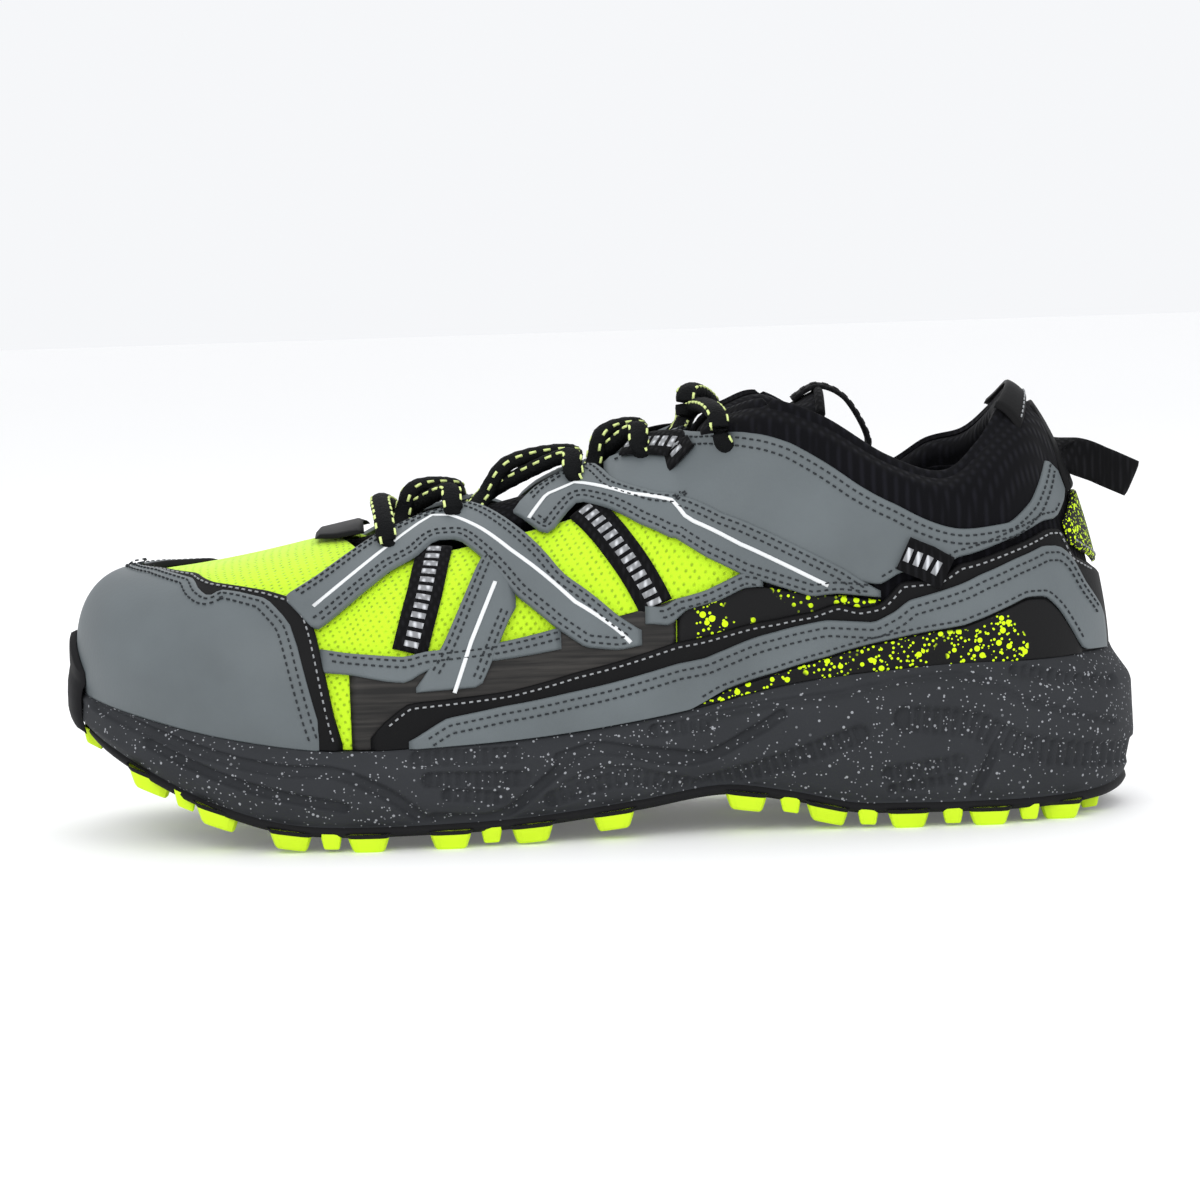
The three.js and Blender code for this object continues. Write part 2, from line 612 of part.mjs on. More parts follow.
function makeTongueTop() {
  const arc = [-1, -0.6, 0, 0.6, 1]
  const section = ([x, z, half]) => {
    const crown = (t) => tongueCrown * (1 - t * t)
    const line = (lift) => arc.map((t) => (
      new THREE.Vector3(x * lengthScale, t * half * widthScale, z + lift + crown(t) - tongueCrown - tongueDrop)))
    return [...line(0), ...line(tongueThick).reverse()]
  }
  const sections = tongueSections.map(section)
  const size = 2 * arc.length
  const endCap = (points) => arc.slice(1).map((_, k) => (
    [points[k], points[k + 1], points[size - 2 - k], points[size - 1 - k]]))
  const faces = [...endCap(sections[0]).map((face) => face.reverse()), ...endCap(sections.at(-1))]
  sections.slice(1).forEach((next, k) => {
    sections[k].forEach((_, m) => {
      const n = (m + 1) % next.length
      faces.push([sections[k][m], sections[k][n], next[n], next[m]])
    })
  })
  return solidFromFaces(signedVolume(faces) > 0 ? faces : faces.map((face) => [...face].reverse()))
}

// A ribbon of webbing standing on edge along a path of [x, z] points.
function ribbon(points, width, thickness) {
  const path = new THREE.CatmullRomCurve3(points.map(([x, z]) => new THREE.Vector3(x * lengthScale, z, 0)))
  const steps = 22
  const edge = (direction) => Array.from({ length: steps + 1 }, (_, k) => {
    const p = path.getPointAt(k / steps)
    const t = path.getTangentAt(k / steps)
    return new THREE.Vector2(p.x - t.y * direction * thickness / 2, p.y + t.x * direction * thickness / 2)
  })
  const shape = new THREE.Shape([...edge(1), ...edge(-1).reverse()])
  const body = new THREE.ExtrudeGeometry(shape, { depth: width, bevelEnabled: false, steps: 1 })
  body.rotateX(Math.PI / 2)
  body.translate(0, width / 2, 0)
  return toSolid(body)
}
const tongueLoopPath = [[55, 114.8], [62, 118.5], [70, 114.5], [76, 103], [72, 99.5], [62.5, 107.2]]
const heelLoopPath = [[129, 101.5], [135, 104], [144, 103], [150, 97.5], [148.5, 91.5], [142, 88.5],
  [134.5, 91]]

// ---------- lace: one length, criss-crossed, each crossing entering its eyelet from above ----------
const laceOver = foxing[1] + gap + laceWidth / 2 + 0.2
const laceUnder = strap[0] - gap - laceWidth / 2 - 0.4
const laceLow = laceWidth / 2 - 0.3 // lower crossing over the tongue
const laceHigh = laceLow + laceWidth + 1
const laceSection = 6
const laceSteps = 100
const laceEndPoints = [[6.6, 0.56, -9.5], [6.5, 0.42, -11], [6.3, 0.26, -12], [6, 0.14, -13]]
const insoleTop = (x) => recessAt(x) + gap + strobelThick + gap + insoleThick
const laceRestX = [62, 74]
const laceRestY = 14
const laceRestLift = 0.5 // above the insole
const agletLength = 22
const agletRadius = 1.9

function throatMiddle(s, offset) {
  return onSkin(lateral, s, 1, offset).add(onSkin(medial, s, 1, offset)).multiplyScalar(0.5)
}

function laceHalf(startSide, crossingOffsets) {
  const points = []
  eyelets.forEach(([s, v], k) => {
    const side = k % 2 ? -startSide : startSide
    points.push(onSkin(side, s, Math.min(v + 0.11, 0.97), laceOver + 0.4))
    points.push(onSkin(side, s, v + 0.03, laceOver - 0.6))
    points.push(onSkin(side, s, v, (strap[0] + strap[1]) / 2))
    if (k === eyelets.length - 1) {
      points.push(onSkin(side, s, v, lining[0] - 1))
      laceEndPoints.forEach(([es, ev, offset]) => points.push(onSkin(side, es, ev, offset)))
      laceRestX.forEach((x) => {
        const height = insoleTop(x) + laceWidth / 2 + laceRestLift
        points.push(new THREE.Vector3(x * lengthScale, side * laceRestY * widthScale, height))
      })
      return
    }
    const next = eyelets[k + 1][0]
    points.push(onSkin(side, s - 0.06, v + 0.04, laceUnder))
    points.push(onSkin(side, s + (next - s) * 0.25, 0.96, laceUnder + 1.6))
    points.push(throatMiddle(s + (next - s) * 0.5, crossingOffsets[k]))
  })
  return points
}

function lacePoints() {
  const order = (high) => eyelets.map((_, k) => ((k % 2 === 0) === high ? laceHigh : laceLow))
  const bar = throatMiddle(eyelets[0][0], laceOver + 0.6)
  return [...laceHalf(lateral, order(true)).reverse(), bar, ...laceHalf(medial, order(false))]
}

function makeLace() {
  const section = new THREE.Shape(Array.from({ length: laceSection }, (_, k) => {
    const angle = (k / laceSection) * 2 * Math.PI
    return new THREE.Vector2(Math.cos(angle) * laceWidth / 2, Math.sin(angle) * laceWidth / 2)
  }))
  const path = new THREE.CatmullRomCurve3(lacePoints(), false, 'centripetal')
  const options = { steps: laceSteps, extrudePath: path, bevelEnabled: false }
  return toSolid(new THREE.ExtrudeGeometry(section, options))
}

function makeAglet(side) {
  const points = lacePoints()
  const [end, before] = side === lateral ? [points[0], points[1]] : [points.at(-1), points.at(-2)]
  const direction = end.clone().sub(before).normalize()
  const body = new THREE.CylinderGeometry(agletRadius, agletRadius, agletLength, 10)
  body.applyQuaternion(new THREE.Quaternion().setFromUnitVectors(new THREE.Vector3(0, 1, 0), direction))
  const middle = end.clone().addScaledVector(direction, gap + 0.4 + agletLength / 2)
  body.translate(middle.x, middle.y, middle.z)
  return toSolid(body)
}

// ---------- assembly ----------
const group = new THREE.Group()

function add(name, solid, color, roughness, metalness = 0) {
  const material = new THREE.MeshStandardMaterial({ color, roughness, metalness })
  const mesh = new THREE.Mesh(toGeometry(solid), material)
  mesh.name = name
  group.add(mesh)
}

function addPair(name, bands, offsets, color, roughness, finish = (solid) => solid) {
  sides.forEach((side) => {
    const solid = bands.map(([lower, upper]) => slab([band(side, lower, upper)], offsets))
      .reduce((left, right) => left.add(right))
    add(`${name}_${side === lateral ? 'lateral' : 'medial'}`, finish(solid, side), color, roughness)
  })
}

const black = '#17181a'
const slate = '#666f74'
const lime = '#c8f000'
const sole = '#3a3d40'

add('outsole', makeOutsole(), black, 0.8)
add('lug_plate', makeLugPlate(), lime, 0.6)
add('toe_bumper', makeBumper(), black, 0.75)
add('midsole', makeMidsole(), sole, 0.9)
const boardEdge = () => -recessInset - 0.5 - gap
add('strobel_board', sheet(boardEdge, (x) => recessAt(x) + gap, strobelThick), '#c9c3b2', 0.9)
const insoleEdge = () => boardEdge() - 0.8
add('insole', sheet(insoleEdge, (x) => recessAt(x) + 2 * gap + strobelThick, insoleThick), black, 0.9)

const bothEyelets = (solid) => sides.reduce((left, side) => withEyelets(left, side), solid)
add('lining', bothEyelets(slab(onBothSides(feather, liningTop), lining)), black, 0.95)
add('collar_pad', slab(onBothSides([[0, 0.68], [5.2, 0.66]], [[0, 1], [5.2, 1]]), collar), black, 0.95)
const fromFeather = (start, end) => [[start, featherEdge], [end, featherEdge]]
const counterTop = [[0, 0.62], [1.5, 0.55], [2.6, 0.4], [3.4, 0.15]]
const puffTop = [[13.3, 0.4], [15, 0.7], [toeStation, 0.85]]
add('heel_counter', slab(onBothSides(fromFeather(0, 3.4), counterTop), stiffener), '#d8d4c8', 0.6)
add('toe_puff', slab(onBothSides(fromFeather(13.3, toeStation), puffTop), stiffener), '#d8d4c8', 0.6)
const heelMesh = slab(onBothSides(fromFeather(0, textileSplit - splitGap), heelMeshTop), textile)
const vampMesh = slab(onBothSides(fromFeather(textileSplit, toeStation), vampTop), textile)
add('heel_mesh', heelMesh, black, 0.95)
add('vamp_mesh', bothEyelets(vampMesh), lime, 0.8)

addPair('mudguard_film', [[fromFeather(4.2, 11.7), mudguardTop]], overlay, '#24211f', 0.5)
addPair('front_webbing',
  [[[[10.5, 0.6], [10.85, 0.32], [11.15, 0.32]], [[10.5, 0.66], [10.9, 0.62], [11.15, 0.35]]]],
  overlay, black, 0.9)
addPair('mid_webbing', [[[[8.15, 0.3], [8.5, 0.31], [9.25, 0.62]], [[8.15, 0.34], [8.9, 0.62], [9.25, 0.66]]]],
  overlay, black, 0.9)
add('toe_trim', slab(onBothSides(toeTrimBottom, toeTrimTop), overlay), black, 0.85)
add('toe_cap', slab(onBothSides(fromFeather(12, toeStation), toeCapTop), strap), slate, 0.7)
add('vamp_point', slab(onBothSides(vampPointBottom, [[11.55, 1], [12.4, 1]]), strap), black, 0.8)
addPair('front_strap', [[frontStrapBottom, frontStrapTop], [frontLegBottom, frontLegTop], [waveBottom, waveTop]],
  strap, slate, 0.7, withEyelets)
addPair('mid_strap', [[midStrapBottom, midStrapTop], [rearWaveBottom, rearWaveTop]], strap, slate, 0.7, withEyelets)
addPair('quarter', [[quarterBottom, quarterTop]], strap, slate, 0.7, withEyelets)
add('rear_foxing', slab(onBothSides(fromFeather(0, 11.5), foxingTop), strap), black, 0.8)
add('backstay', slab(onBothSides(backstayBottom, backstayTop), strap), black, 0.8)
add('heel_tab', slab(onBothSides(heelTabBottom, [[0, 1], [1.2, 1]]), strap), black, 0.9)
addPair('foxing_skin', [[printBottom, printTop]], foxing, slate, 0.7)
addPair('eyelet_webbing', [[[[7.5, 0.68], [8.1, 0.64], [8.75, 0.8]], [[7.5, 0.71], [8.2, 0.86], [8.75, 0.86]]]],
  foxing, black, 0.9, withEyelets)
addPair('rear_webbing', [[[[3, 0.42], [3.5, 0.37], [4, 0.38]], [[3, 0.45], [3.6, 0.49], [4, 0.41]]]],
  foxing, black, 0.9)

add('tongue_base', slab(onBothSides([[8.3, 0.72], [12, 0.8]], [[8.3, 1], [12, 1]]), tongue), black, 0.95)
add('tongue_top', makeTongueTop(), black, 0.95)
add('tongue_loop', ribbon(tongueLoopPath, webbingWidth, loopThick), black, 0.9)
add('heel_loop', ribbon(heelLoopPath, webbingWidth, loopThick), black, 0.9)
add('shoelace', makeLace(), '#202224', 0.85)
add('aglet_lateral', makeAglet(lateral), black, 0.4)
add('aglet_medial', makeAglet(medial), black, 0.4)

// The origin is the middle of the footprint, on the ground.
const box = new THREE.Box3().setFromObject(group)
const middle = box.getCenter(new THREE.Vector3())
group.position.set(-middle.x, -middle.y, -box.min.z)

export default group
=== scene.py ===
import math

import bpy
import numpy as np
from mathutils import Euler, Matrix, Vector


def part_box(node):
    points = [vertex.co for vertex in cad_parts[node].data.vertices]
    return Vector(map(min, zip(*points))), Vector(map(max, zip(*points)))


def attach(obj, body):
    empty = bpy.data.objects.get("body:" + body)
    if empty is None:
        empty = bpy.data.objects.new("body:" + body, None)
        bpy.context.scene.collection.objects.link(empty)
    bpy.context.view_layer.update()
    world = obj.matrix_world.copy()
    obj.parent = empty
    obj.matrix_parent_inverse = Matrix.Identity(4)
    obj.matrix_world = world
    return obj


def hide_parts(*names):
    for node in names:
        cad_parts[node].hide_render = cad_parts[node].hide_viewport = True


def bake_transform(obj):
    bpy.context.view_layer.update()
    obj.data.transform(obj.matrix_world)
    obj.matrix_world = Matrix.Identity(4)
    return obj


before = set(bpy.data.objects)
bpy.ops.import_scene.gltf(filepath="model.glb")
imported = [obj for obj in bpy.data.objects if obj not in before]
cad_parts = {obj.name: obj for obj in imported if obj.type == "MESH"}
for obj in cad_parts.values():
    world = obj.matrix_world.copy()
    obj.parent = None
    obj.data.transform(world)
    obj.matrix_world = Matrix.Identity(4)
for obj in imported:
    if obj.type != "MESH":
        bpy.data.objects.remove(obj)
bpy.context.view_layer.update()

# ---------------------------------------------------------------- camera, lights, floor
MM = 0.001
VIEW_WIDTH = 0.3346  # metres across the picture at the shoe
VIEW_HEIGHT = 0.0605  # height of the picture's centre above the ground
ELEVATION = math.radians(6)
ROLL = math.radians(-1.83)
LENS = 135
SENSOR = 36
AIM = (0, 0, 0.05)
LIGHTS = {  # place, size in metres, watts
    "key": ((-0.35, -0.9, 0.75), 0.7, 3.6),
    "fill": ((0.7, -0.7, 0.4), 0.8, 1.2),
    "top": ((0.1, 0.3, 1.0), 0.9, 2.4),
}
BACK_LIGHT = ("back", (0, 0.9, 0.5), (0, 0, 0.08), 0.8, 1.4)
SKY = (0.97, 0.98, 1.0, 1)
SKY_STRENGTH = 0.95
FLOOR_REACH = 3
FLOOR_PAINT = (0.9, 0.9, 0.9)
FLOOR_GLOW = 0.12  # keeps the floor as white as the photo's background


def make_camera():
    data = bpy.data.cameras.new("camera")
    data.lens = LENS
    data.sensor_width = SENSOR
    camera = bpy.data.objects.new("camera", data)
    bpy.context.scene.collection.objects.link(camera)
    distance = LENS / SENSOR * VIEW_WIDTH
    camera.location = (0, -distance * math.cos(ELEVATION), VIEW_HEIGHT + distance * math.sin(ELEVATION))
    look = Euler((math.pi / 2 - ELEVATION, 0, 0)).to_matrix()
    turn = Euler((0, 0, ROLL)).to_matrix()
    camera.rotation_euler = (look @ turn).to_euler()
    bpy.context.scene.camera = camera


def make_light(name, place, aim, size, power):
    data = bpy.data.lights.new(name, "AREA")
    data.size = size
    data.energy = power
    light = bpy.data.objects.new(name, data)
    light.location = place
    light.rotation_euler = (Vector(aim) - Vector(place)).to_track_quat("-Z", "Y").to_euler()
    bpy.context.scene.collection.objects.link(light)


def make_studio():
    for name, (place, size, power) in LIGHTS.items():
        make_light(name, place, AIM, size, power)
    make_light(*BACK_LIGHT)
    world = bpy.data.worlds.new("world")
    world.use_nodes = True
    background = world.node_tree.nodes["Background"]
    background.inputs[0].default_value = SKY
    background.inputs[1].default_value = SKY_STRENGTH
    bpy.context.scene.world = world
    bpy.context.scene.view_settings.view_transform = "Standard"
    mesh = bpy.data.meshes.new("floor")
    corners = [(x * FLOOR_REACH, y * FLOOR_REACH, 0) for x, y in ((-1, -1), (1, -1), (1, 1), (-1, 1))]
    mesh.from_pydata(corners, [], [(0, 1, 2, 3)])
    floor = bpy.data.objects.new("floor", mesh)
    bpy.context.scene.collection.objects.link(floor)
    paint = plain_material("floor_paint", FLOOR_PAINT, 0.7)
    shader = paint.node_tree.nodes["Principled BSDF"]
    shader.inputs["Emission Color"].default_value = (1, 1, 1, 1)
    shader.inputs["Emission Strength"].default_value = FLOOR_GLOW
    mesh.materials.append(paint)


# ---------------------------------------------------------------- the skin, as in the CAD source
# [foot x, lateral y, medial y, top x, half opening or ridge y, lateral z, medial z, roundness, bulge]
STATIONS = np.array([
    [139, 0, 0, 114, 0, 116, 116, 1.5, 0],
    [132, -19.5, 19.5, 111, 13, 112, 111, 1.5, 0.5],
    [117, -32, 31.5, 104, 23, 103, 104, 1.5, 1.5],
    [98, -36, 35, 94, 29, 96, 101, 1.5, 2],
    [80, -36, 33, 79, 31.5, 101, 94, 1.55, 2],
    [61, -35.5, 30.5, 62, 32, 112, 107, 1.6, 1.5],
    [44, -36, 29.5, 47, 28, 117, 116, 1.7, 1],
    [32, -37, 30, 36, 18, 114, 114, 1.8, 1],
    [20, -39, 31.5, 26, 0, 110, 110, 1.9, 1],
    [0, -42, 35, 0, 0, 99, 99, 1.9, 1],
    [-25, -46, 41, -28, 0, 91.5, 91.5, 1.9, 2],
    [-50, -49, 46.5, -54, 0.5, 85.5, 85.5, 2, 2.5],
    [-75, -49.5, 49.5, -77, 2, 80.5, 80.5, 2.1, 3],
    [-98, -45, 48.5, -95, 3, 76.5, 76.5, 2.2, 3],
    [-117, -35.5, 42.5, -108, 4, 74, 74, 2.3, 3],
    [-132, -21.5, 32.5, -117, 5, 72.8, 72.8, 2.3, 2.5],
    [-141, -6, 21, -123, 5.5, 72, 72, 2.3, 2],
    [-144, 8, 8, -127, 6, 71.5, 71.5, 2.3, 2],
])
TOE = len(STATIONS) - 1
THROAT = 8
LATERAL, MEDIAL = -1, 1
SIDES = {LATERAL: "lateral", MEDIAL: "medial"}
FEATHER = [(-147, 41), (-127, 36.5), (-100, 31), (-72, 27.5), (-44, 28), (-10, 30), (20, 34), (51, 40.5),
           (77, 44), (99, 45.5), (140, 44.5)]
SOLE = [(-150, 36), (-141, 30), (-122, 21), (-106, 14), (-89, 8.7), (-73, 6.9), (-39, 6.9), (-20, 7.6),
        (8, 10.5), (31, 13.5), (50, 11), (67, 7.4), (80, 6.9), (125, 6.9), (137, 8), (150, 13)]
FLARE = [(-144, 4), (-120, 6), (-60, 7), (30, 7.5), (100, 8), (132, 9)]


def through(points, x):
    """Smooth curve through (x, y) points."""
    p = np.array(points, float)
    xs, ys = p[:, 0], p[:, 1]
    low = np.maximum(np.arange(len(xs)) - 1, 0)
    high = np.minimum(np.arange(len(xs)) + 1, len(xs) - 1)
    slopes = (ys[high] - ys[low]) / (xs[high] - xs[low])
    i = np.clip(np.searchsorted(xs, x) - 1, 0, len(xs) - 2)
    width = xs[i + 1] - xs[i]
    t = np.clip((x - xs[i]) / width, 0, 1)
    rise = ys[i + 1] - ys[i]
    a, b = slopes[i] * width, slopes[i + 1] * width
    return ys[i] + t * a + t * t * (3 * rise - 2 * a - b) + t ** 3 * (a + b - 2 * rise)


def catmull(p, t):
    return 0.5 * (2 * p[1] + (p[2] - p[0]) * t + (2 * p[0] - 5 * p[1] + 4 * p[2] - p[3]) * t * t
                  + (3 * p[1] - p[0] - 3 * p[2] + p[3]) * t ** 3)


def station_rows(index, side):
    """Row numbers folded at the heel and toe, and the side each then stands for."""
    folded = np.where(np.abs(index) > TOE, 2 * TOE - np.abs(index), np.abs(index))
    crossed = (index < 0) | (index > TOE)
    return folded, np.where(crossed, -side, side)


def foot_rows(index, side):
    row, own = station_rows(index, side)
    return np.stack([STATIONS[row, 0], np.where(own < 0, STATIONS[row, 1], STATIONS[row, 2])], -1)


def top_rows(index, side):
    row, own = station_rows(index, side)
    y = np.where(row < THROAT, own * STATIONS[row, 4], STATIONS[row, 4])
    z = np.where(own < 0, STATIONS[row, 5], STATIONS[row, 6])
    return np.stack([STATIONS[row, 3], y, z], -1)


def split(s):
    i = np.clip(np.floor(s).astype(int), 0, TOE - 1)
    return i, (s - i)[..., None]


def foot(s, side):
    i, t = split(s)
    return catmull([foot_rows(i + k, side) for k in (-1, 0, 1, 2)], t)


def topline(s, side):
    i, t = split(s)
    p = [top_rows(i + k, side) for k in (-1, 0, 1, 2)]
    beyond = top_rows(np.full_like(i, THROAT - 1), -side)
    p[3] = np.where((i == THROAT - 1)[..., None], beyond, p[3])
    p[0] = np.where((i == THROAT)[..., None], 2 * p[1] - p[2], p[0])
    return catmull(p, t)


def wall(s, column):
    """A column of the stations' table, smooth along the shoe."""
    i, t = split(s)
    rows = [STATIONS[station_rows(i + k, LATERAL)[0], column][..., None] for k in (-1, 0, 1, 2)]
    return catmull(rows, t)[..., 0]


def outward(s, side):
    step = 1e-3
    d = foot(np.minimum(s + step, TOE), side) - foot(np.maximum(s - step, 0), side)
    n = np.stack([side * d[..., 1], -side * d[..., 0]], -1)
    return n / np.linalg.norm(n, axis=-1, keepdims=True)


def skin(s, v, side):
    angle = np.clip(v, 0, 1) * math.pi / 2
    power = 2 / wall(s, 7)
    inward = 1 - np.abs(np.cos(angle)) ** power
    rise = np.abs(np.sin(angle)) ** power
    bulge = wall(s, 8) * np.sin(math.pi * np.clip(v, 0, 1))
    f, top = foot(s, side), topline(s, side)
    xy = f + (top[..., :2] - f) * inward[..., None] + outward(s, side) * bulge[..., None]
    base = through(FEATHER, f[..., 0])
    return np.concatenate([xy, (base + (top[..., 2] - base) * rise)[..., None]], -1)


def one_normal(s, v, side):
    step = 2e-3
    along = skin(np.minimum(s + step, TOE), v, side) - skin(np.maximum(s - step, 0), v, side)
    up = skin(s, np.minimum(v + step, 1), side) - skin(s, np.maximum(v - step, 0), side)
    n = np.cross(along, up) * side
    return n / np.maximum(np.linalg.norm(n, axis=-1, keepdims=True), 1e-9)


def normal(s, v, side):
    """Outward normal, shared by both sides where they meet at the ridge, heel and toe."""
    n = one_normal(s, v, side)
    meet = ((v >= 0.999) & (s >= THROAT)) | (s <= 1e-6) | (s >= TOE - 1e-6)
    both = n + one_normal(s, v, -side)
    n = np.where(meet[..., None], both, n)
    return n / np.linalg.norm(n, axis=-1, keepdims=True)


def on_skin(s, v, side, offset):
    s, v, offset = np.broadcast_arrays(np.asarray(s, float), np.asarray(v, float),
                                       np.asarray(offset, float))
    return skin(s, v, side) + normal(s, v, side) * offset[..., None]


# ---------------------------------------------------------------- mesh helpers
def make_object(name, points, faces, material, body="shoe", uv=None, smooth=True):
    """A mesh object from points in drawn millimetres, riding on a body."""
    mesh = bpy.data.meshes.new(name)
    world = (np.asarray(points, float) + SHIFT) * MM
    mesh.from_pydata(world.tolist(), [], faces)
    mesh.materials.append(material)
    if uv is not None:
        layer = mesh.uv_layers.new(name="UVMap")
        corners = np.empty(len(mesh.loops), int)
        mesh.loops.foreach_get("vertex_index", corners)
        layer.data.foreach_set("uv", (np.asarray(uv, float)[corners] * MM).ravel())
    mesh.polygons.foreach_set("use_smooth", [smooth] * len(mesh.polygons))
    mesh.validate()
    piece = bpy.data.objects.new(name, mesh)
    bpy.context.scene.collection.objects.link(piece)
    if body:
        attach(piece, body)
    return piece


def slab_mesh(outer, inner, uv, closed=False):
    """Points, faces and uv of the closed slab between two grids of points [i, j]."""
    rows, cols = outer.shape[:2]
    count = rows * cols
    points = np.concatenate([outer.reshape(-1, 3), inner.reshape(-1, 3)])
    last = rows if closed else rows - 1
    faces = []
    for i in range(last):
        n = (i + 1) % rows
        for j in range(cols - 1):
            a, b, c, d = i * cols + j, n * cols + j, n * cols + j + 1, i * cols + j + 1
            faces.append((a, b, c, d))
            faces.append((count + a, count + d, count + c, count + b))
    for i in range(last):
        n = (i + 1) % rows
        for j, turn in ((0, False), (cols - 1, True)):
            a, b = i * cols + j, n * cols + j
            quad = (a, count + a, count + b, b)
            faces.append(quad[::-1] if turn else quad)
    if not closed:
        for j in range(cols - 1):
            for i, turn in ((0, True), (rows - 1, False)):
                a, b = i * cols + j, i * cols + j + 1
                quad = (a, count + a, count + b, b)
                faces.append(quad[::-1] if turn else quad)
    return points, faces, np.concatenate([uv.reshape(-1, 2)] * 2)


def smooth_edge(edge, s, reach=0.05):
    """Height of an [s, v] edge at the stations s, with its corners rounded over a reach either side."""
    p = np.array(edge, float)
    v = np.interp(s, p[:, 0], p[:, 1])
    before = np.interp(np.maximum(s - reach, p[0, 0]), p[:, 0], p[:, 1])
    after = np.interp(np.minimum(s + reach, p[-1, 0]), p[:, 0], p[:, 1])
    return (before + 2 * v + after) / 4


def flip_if_inside_out(points, faces):
    p = np.asarray(points)
    quads = np.array([f for f in faces if len(f) == 4])
    a, b, c, d = (p[quads[:, k]] for k in range(4))
    volume = np.einsum("ij,ij->i", a, np.cross(b, c)).sum() + np.einsum("ij,ij->i", a, np.cross(c, d)).sum()
    return faces if volume > 0 else [f[::-1] for f in faces]


STEP = 0.08  # stations between columns of a panel
ROUND = 0.7  # mm over which a panel's edge rounds down
EDGE = 0.12  # thickness left at the rounded edge, as a share


def path_of(start, end, wrap, step=STEP):
    """Stations and sides of a panel's columns: one side, or both joined round the heel or toe."""
    count = max(4, int(round((end - start) / step)) + 1)
    s = np.linspace(start, end, count)
    if wrap == "toe":
        return np.concatenate([s, s[-2::-1]]), np.array([LATERAL] * count + [MEDIAL] * (count - 1))
    if wrap == "heel":
        return np.concatenate([s[::-1], s[1:]]), np.array([LATERAL] * count + [MEDIAL] * (count - 1))
    return s, np.full(count, wrap)


def sided(function, s, side, *rest):
    """Evaluate a skin function where each column has its own side."""
    shape = (len(s),) + (1,) * (np.ndim(rest[0]) - 1 if rest else 0)
    grid_s = np.broadcast_to(s.reshape(shape), np.shape(rest[0]) if rest else s.shape)
    both = {k: function(grid_s, *rest[:1], k, *rest[1:]) for k in (LATERAL, MEDIAL)}
    mask = (side < 0).reshape((len(s),) + (1,) * (both[LATERAL].ndim - 1))
    return np.where(mask, both[LATERAL], both[MEDIAL])


def panel_grid(lower, upper, wrap, offsets, rows=10):
    """Outer and inner grids of points of a layer between two edges, and their uv."""
    start = max(lower[0][0], upper[0][0])
    end = min(lower[-1][0], upper[-1][0])
    s, side = path_of(start, end, wrap)
    low, high = smooth_edge(lower, s), smooth_edge(upper, s)
    high = np.maximum(high, low + 0.004)
    ends = [sided(on_skin, s, side, v, np.zeros_like(v)) for v in (low, high)]
    width = np.maximum(np.linalg.norm(ends[1] - ends[0], axis=-1), 0.5)
    rim = np.minimum(ROUND / width, 0.3)[:, None]
    base = np.linspace(0, 1, rows)[None, :]
    t = np.concatenate([0 * rim, rim * 0.35, rim + (1 - 2 * rim) * base, 1 - rim * 0.35, 1 + 0 * rim], 1)
    v = low[:, None] + (high - low)[:, None] * t
    from_low = np.where(low[:, None] <= 0.03, 9, t * width[:, None])
    from_high = np.where(high[:, None] >= 0.999, 9, (1 - t) * width[:, None])
    middle = sided(on_skin, s, side, v, np.zeros_like(v))
    steps = np.linalg.norm(np.diff(middle, axis=0), axis=-1)
    run = np.concatenate([np.zeros((1, t.shape[1])), np.cumsum(steps, 0)])
    from_end = np.minimum(run, run[-1] - run)
    near = np.clip(np.minimum(np.minimum(from_low, from_high), from_end) / ROUND, 0, 1)
    lift = EDGE + (1 - EDGE) * np.sqrt(1 - (1 - near) ** 2)
    inner, outer = offsets
    height = inner + (outer - inner) * lift
    uv = np.stack([run + 0 * v, v * 70], -1)
    return (sided(on_skin, s, side, v, height), sided(on_skin, s, side, v, np.full_like(v, inner)), uv)


def panel(name, bands, wrap, offsets, material, rows=10, lift=0.0):
    """One upper piece from bands, each a lower and an upper edge; later bands lie over earlier ones."""
    parts, uvs = [], []
    for k, (lower, upper) in enumerate(bands):
        outer, inner, uv = panel_grid(lower, upper, wrap, (offsets[0], offsets[1] + k * lift), rows)
        points, faces, uv = slab_mesh(outer, inner, uv)
        parts.append((points, flip_if_inside_out(points, faces)))
        uvs.append(uv)
    points, faces = merge(parts)
    return make_object(name, points, faces, material, uv=np.concatenate(uvs))


def frame_along(path):
    """Two unit directions across each point of a path, the first level where the path allows it."""
    t = np.gradient(path, axis=0)
    t /= np.maximum(np.linalg.norm(t, axis=1, keepdims=True), 1e-9)
    x = np.cross(t, [0, 0, 1.0])
    weak = np.linalg.norm(x, axis=1, keepdims=True) < 0.2
    x = np.where(weak, np.cross(t, [0, 1.0, 0.01]), x)
    x /= np.linalg.norm(x, axis=1, keepdims=True)
    return x, np.cross(x, t)


def strand(points, radius, sides=8, flat=1.0):
    """Points and faces of a closed round or oval strand through the given points."""
    p = np.asarray(points, float)
    x, y = frame_along(p)
    angle = np.arange(sides) / sides * 2 * math.pi
    ring = (p[:, None] + radius * np.cos(angle)[None, :, None] * x[:, None]
            + radius * flat * np.sin(angle)[None, :, None] * y[:, None])
    points, faces = closed_loft(list(ring))
    last = (len(p) - 1) * sides
    faces += [tuple(range(sides))[::-1], tuple(last + k for k in range(sides))]
    return points, faces


def merge(parts):
    points, faces, total = [], [], 0
    for p, f in parts:
        points.append(p)
        faces += [tuple(total + n for n in face) for face in f]
        total += len(p)
    return np.concatenate(points), faces


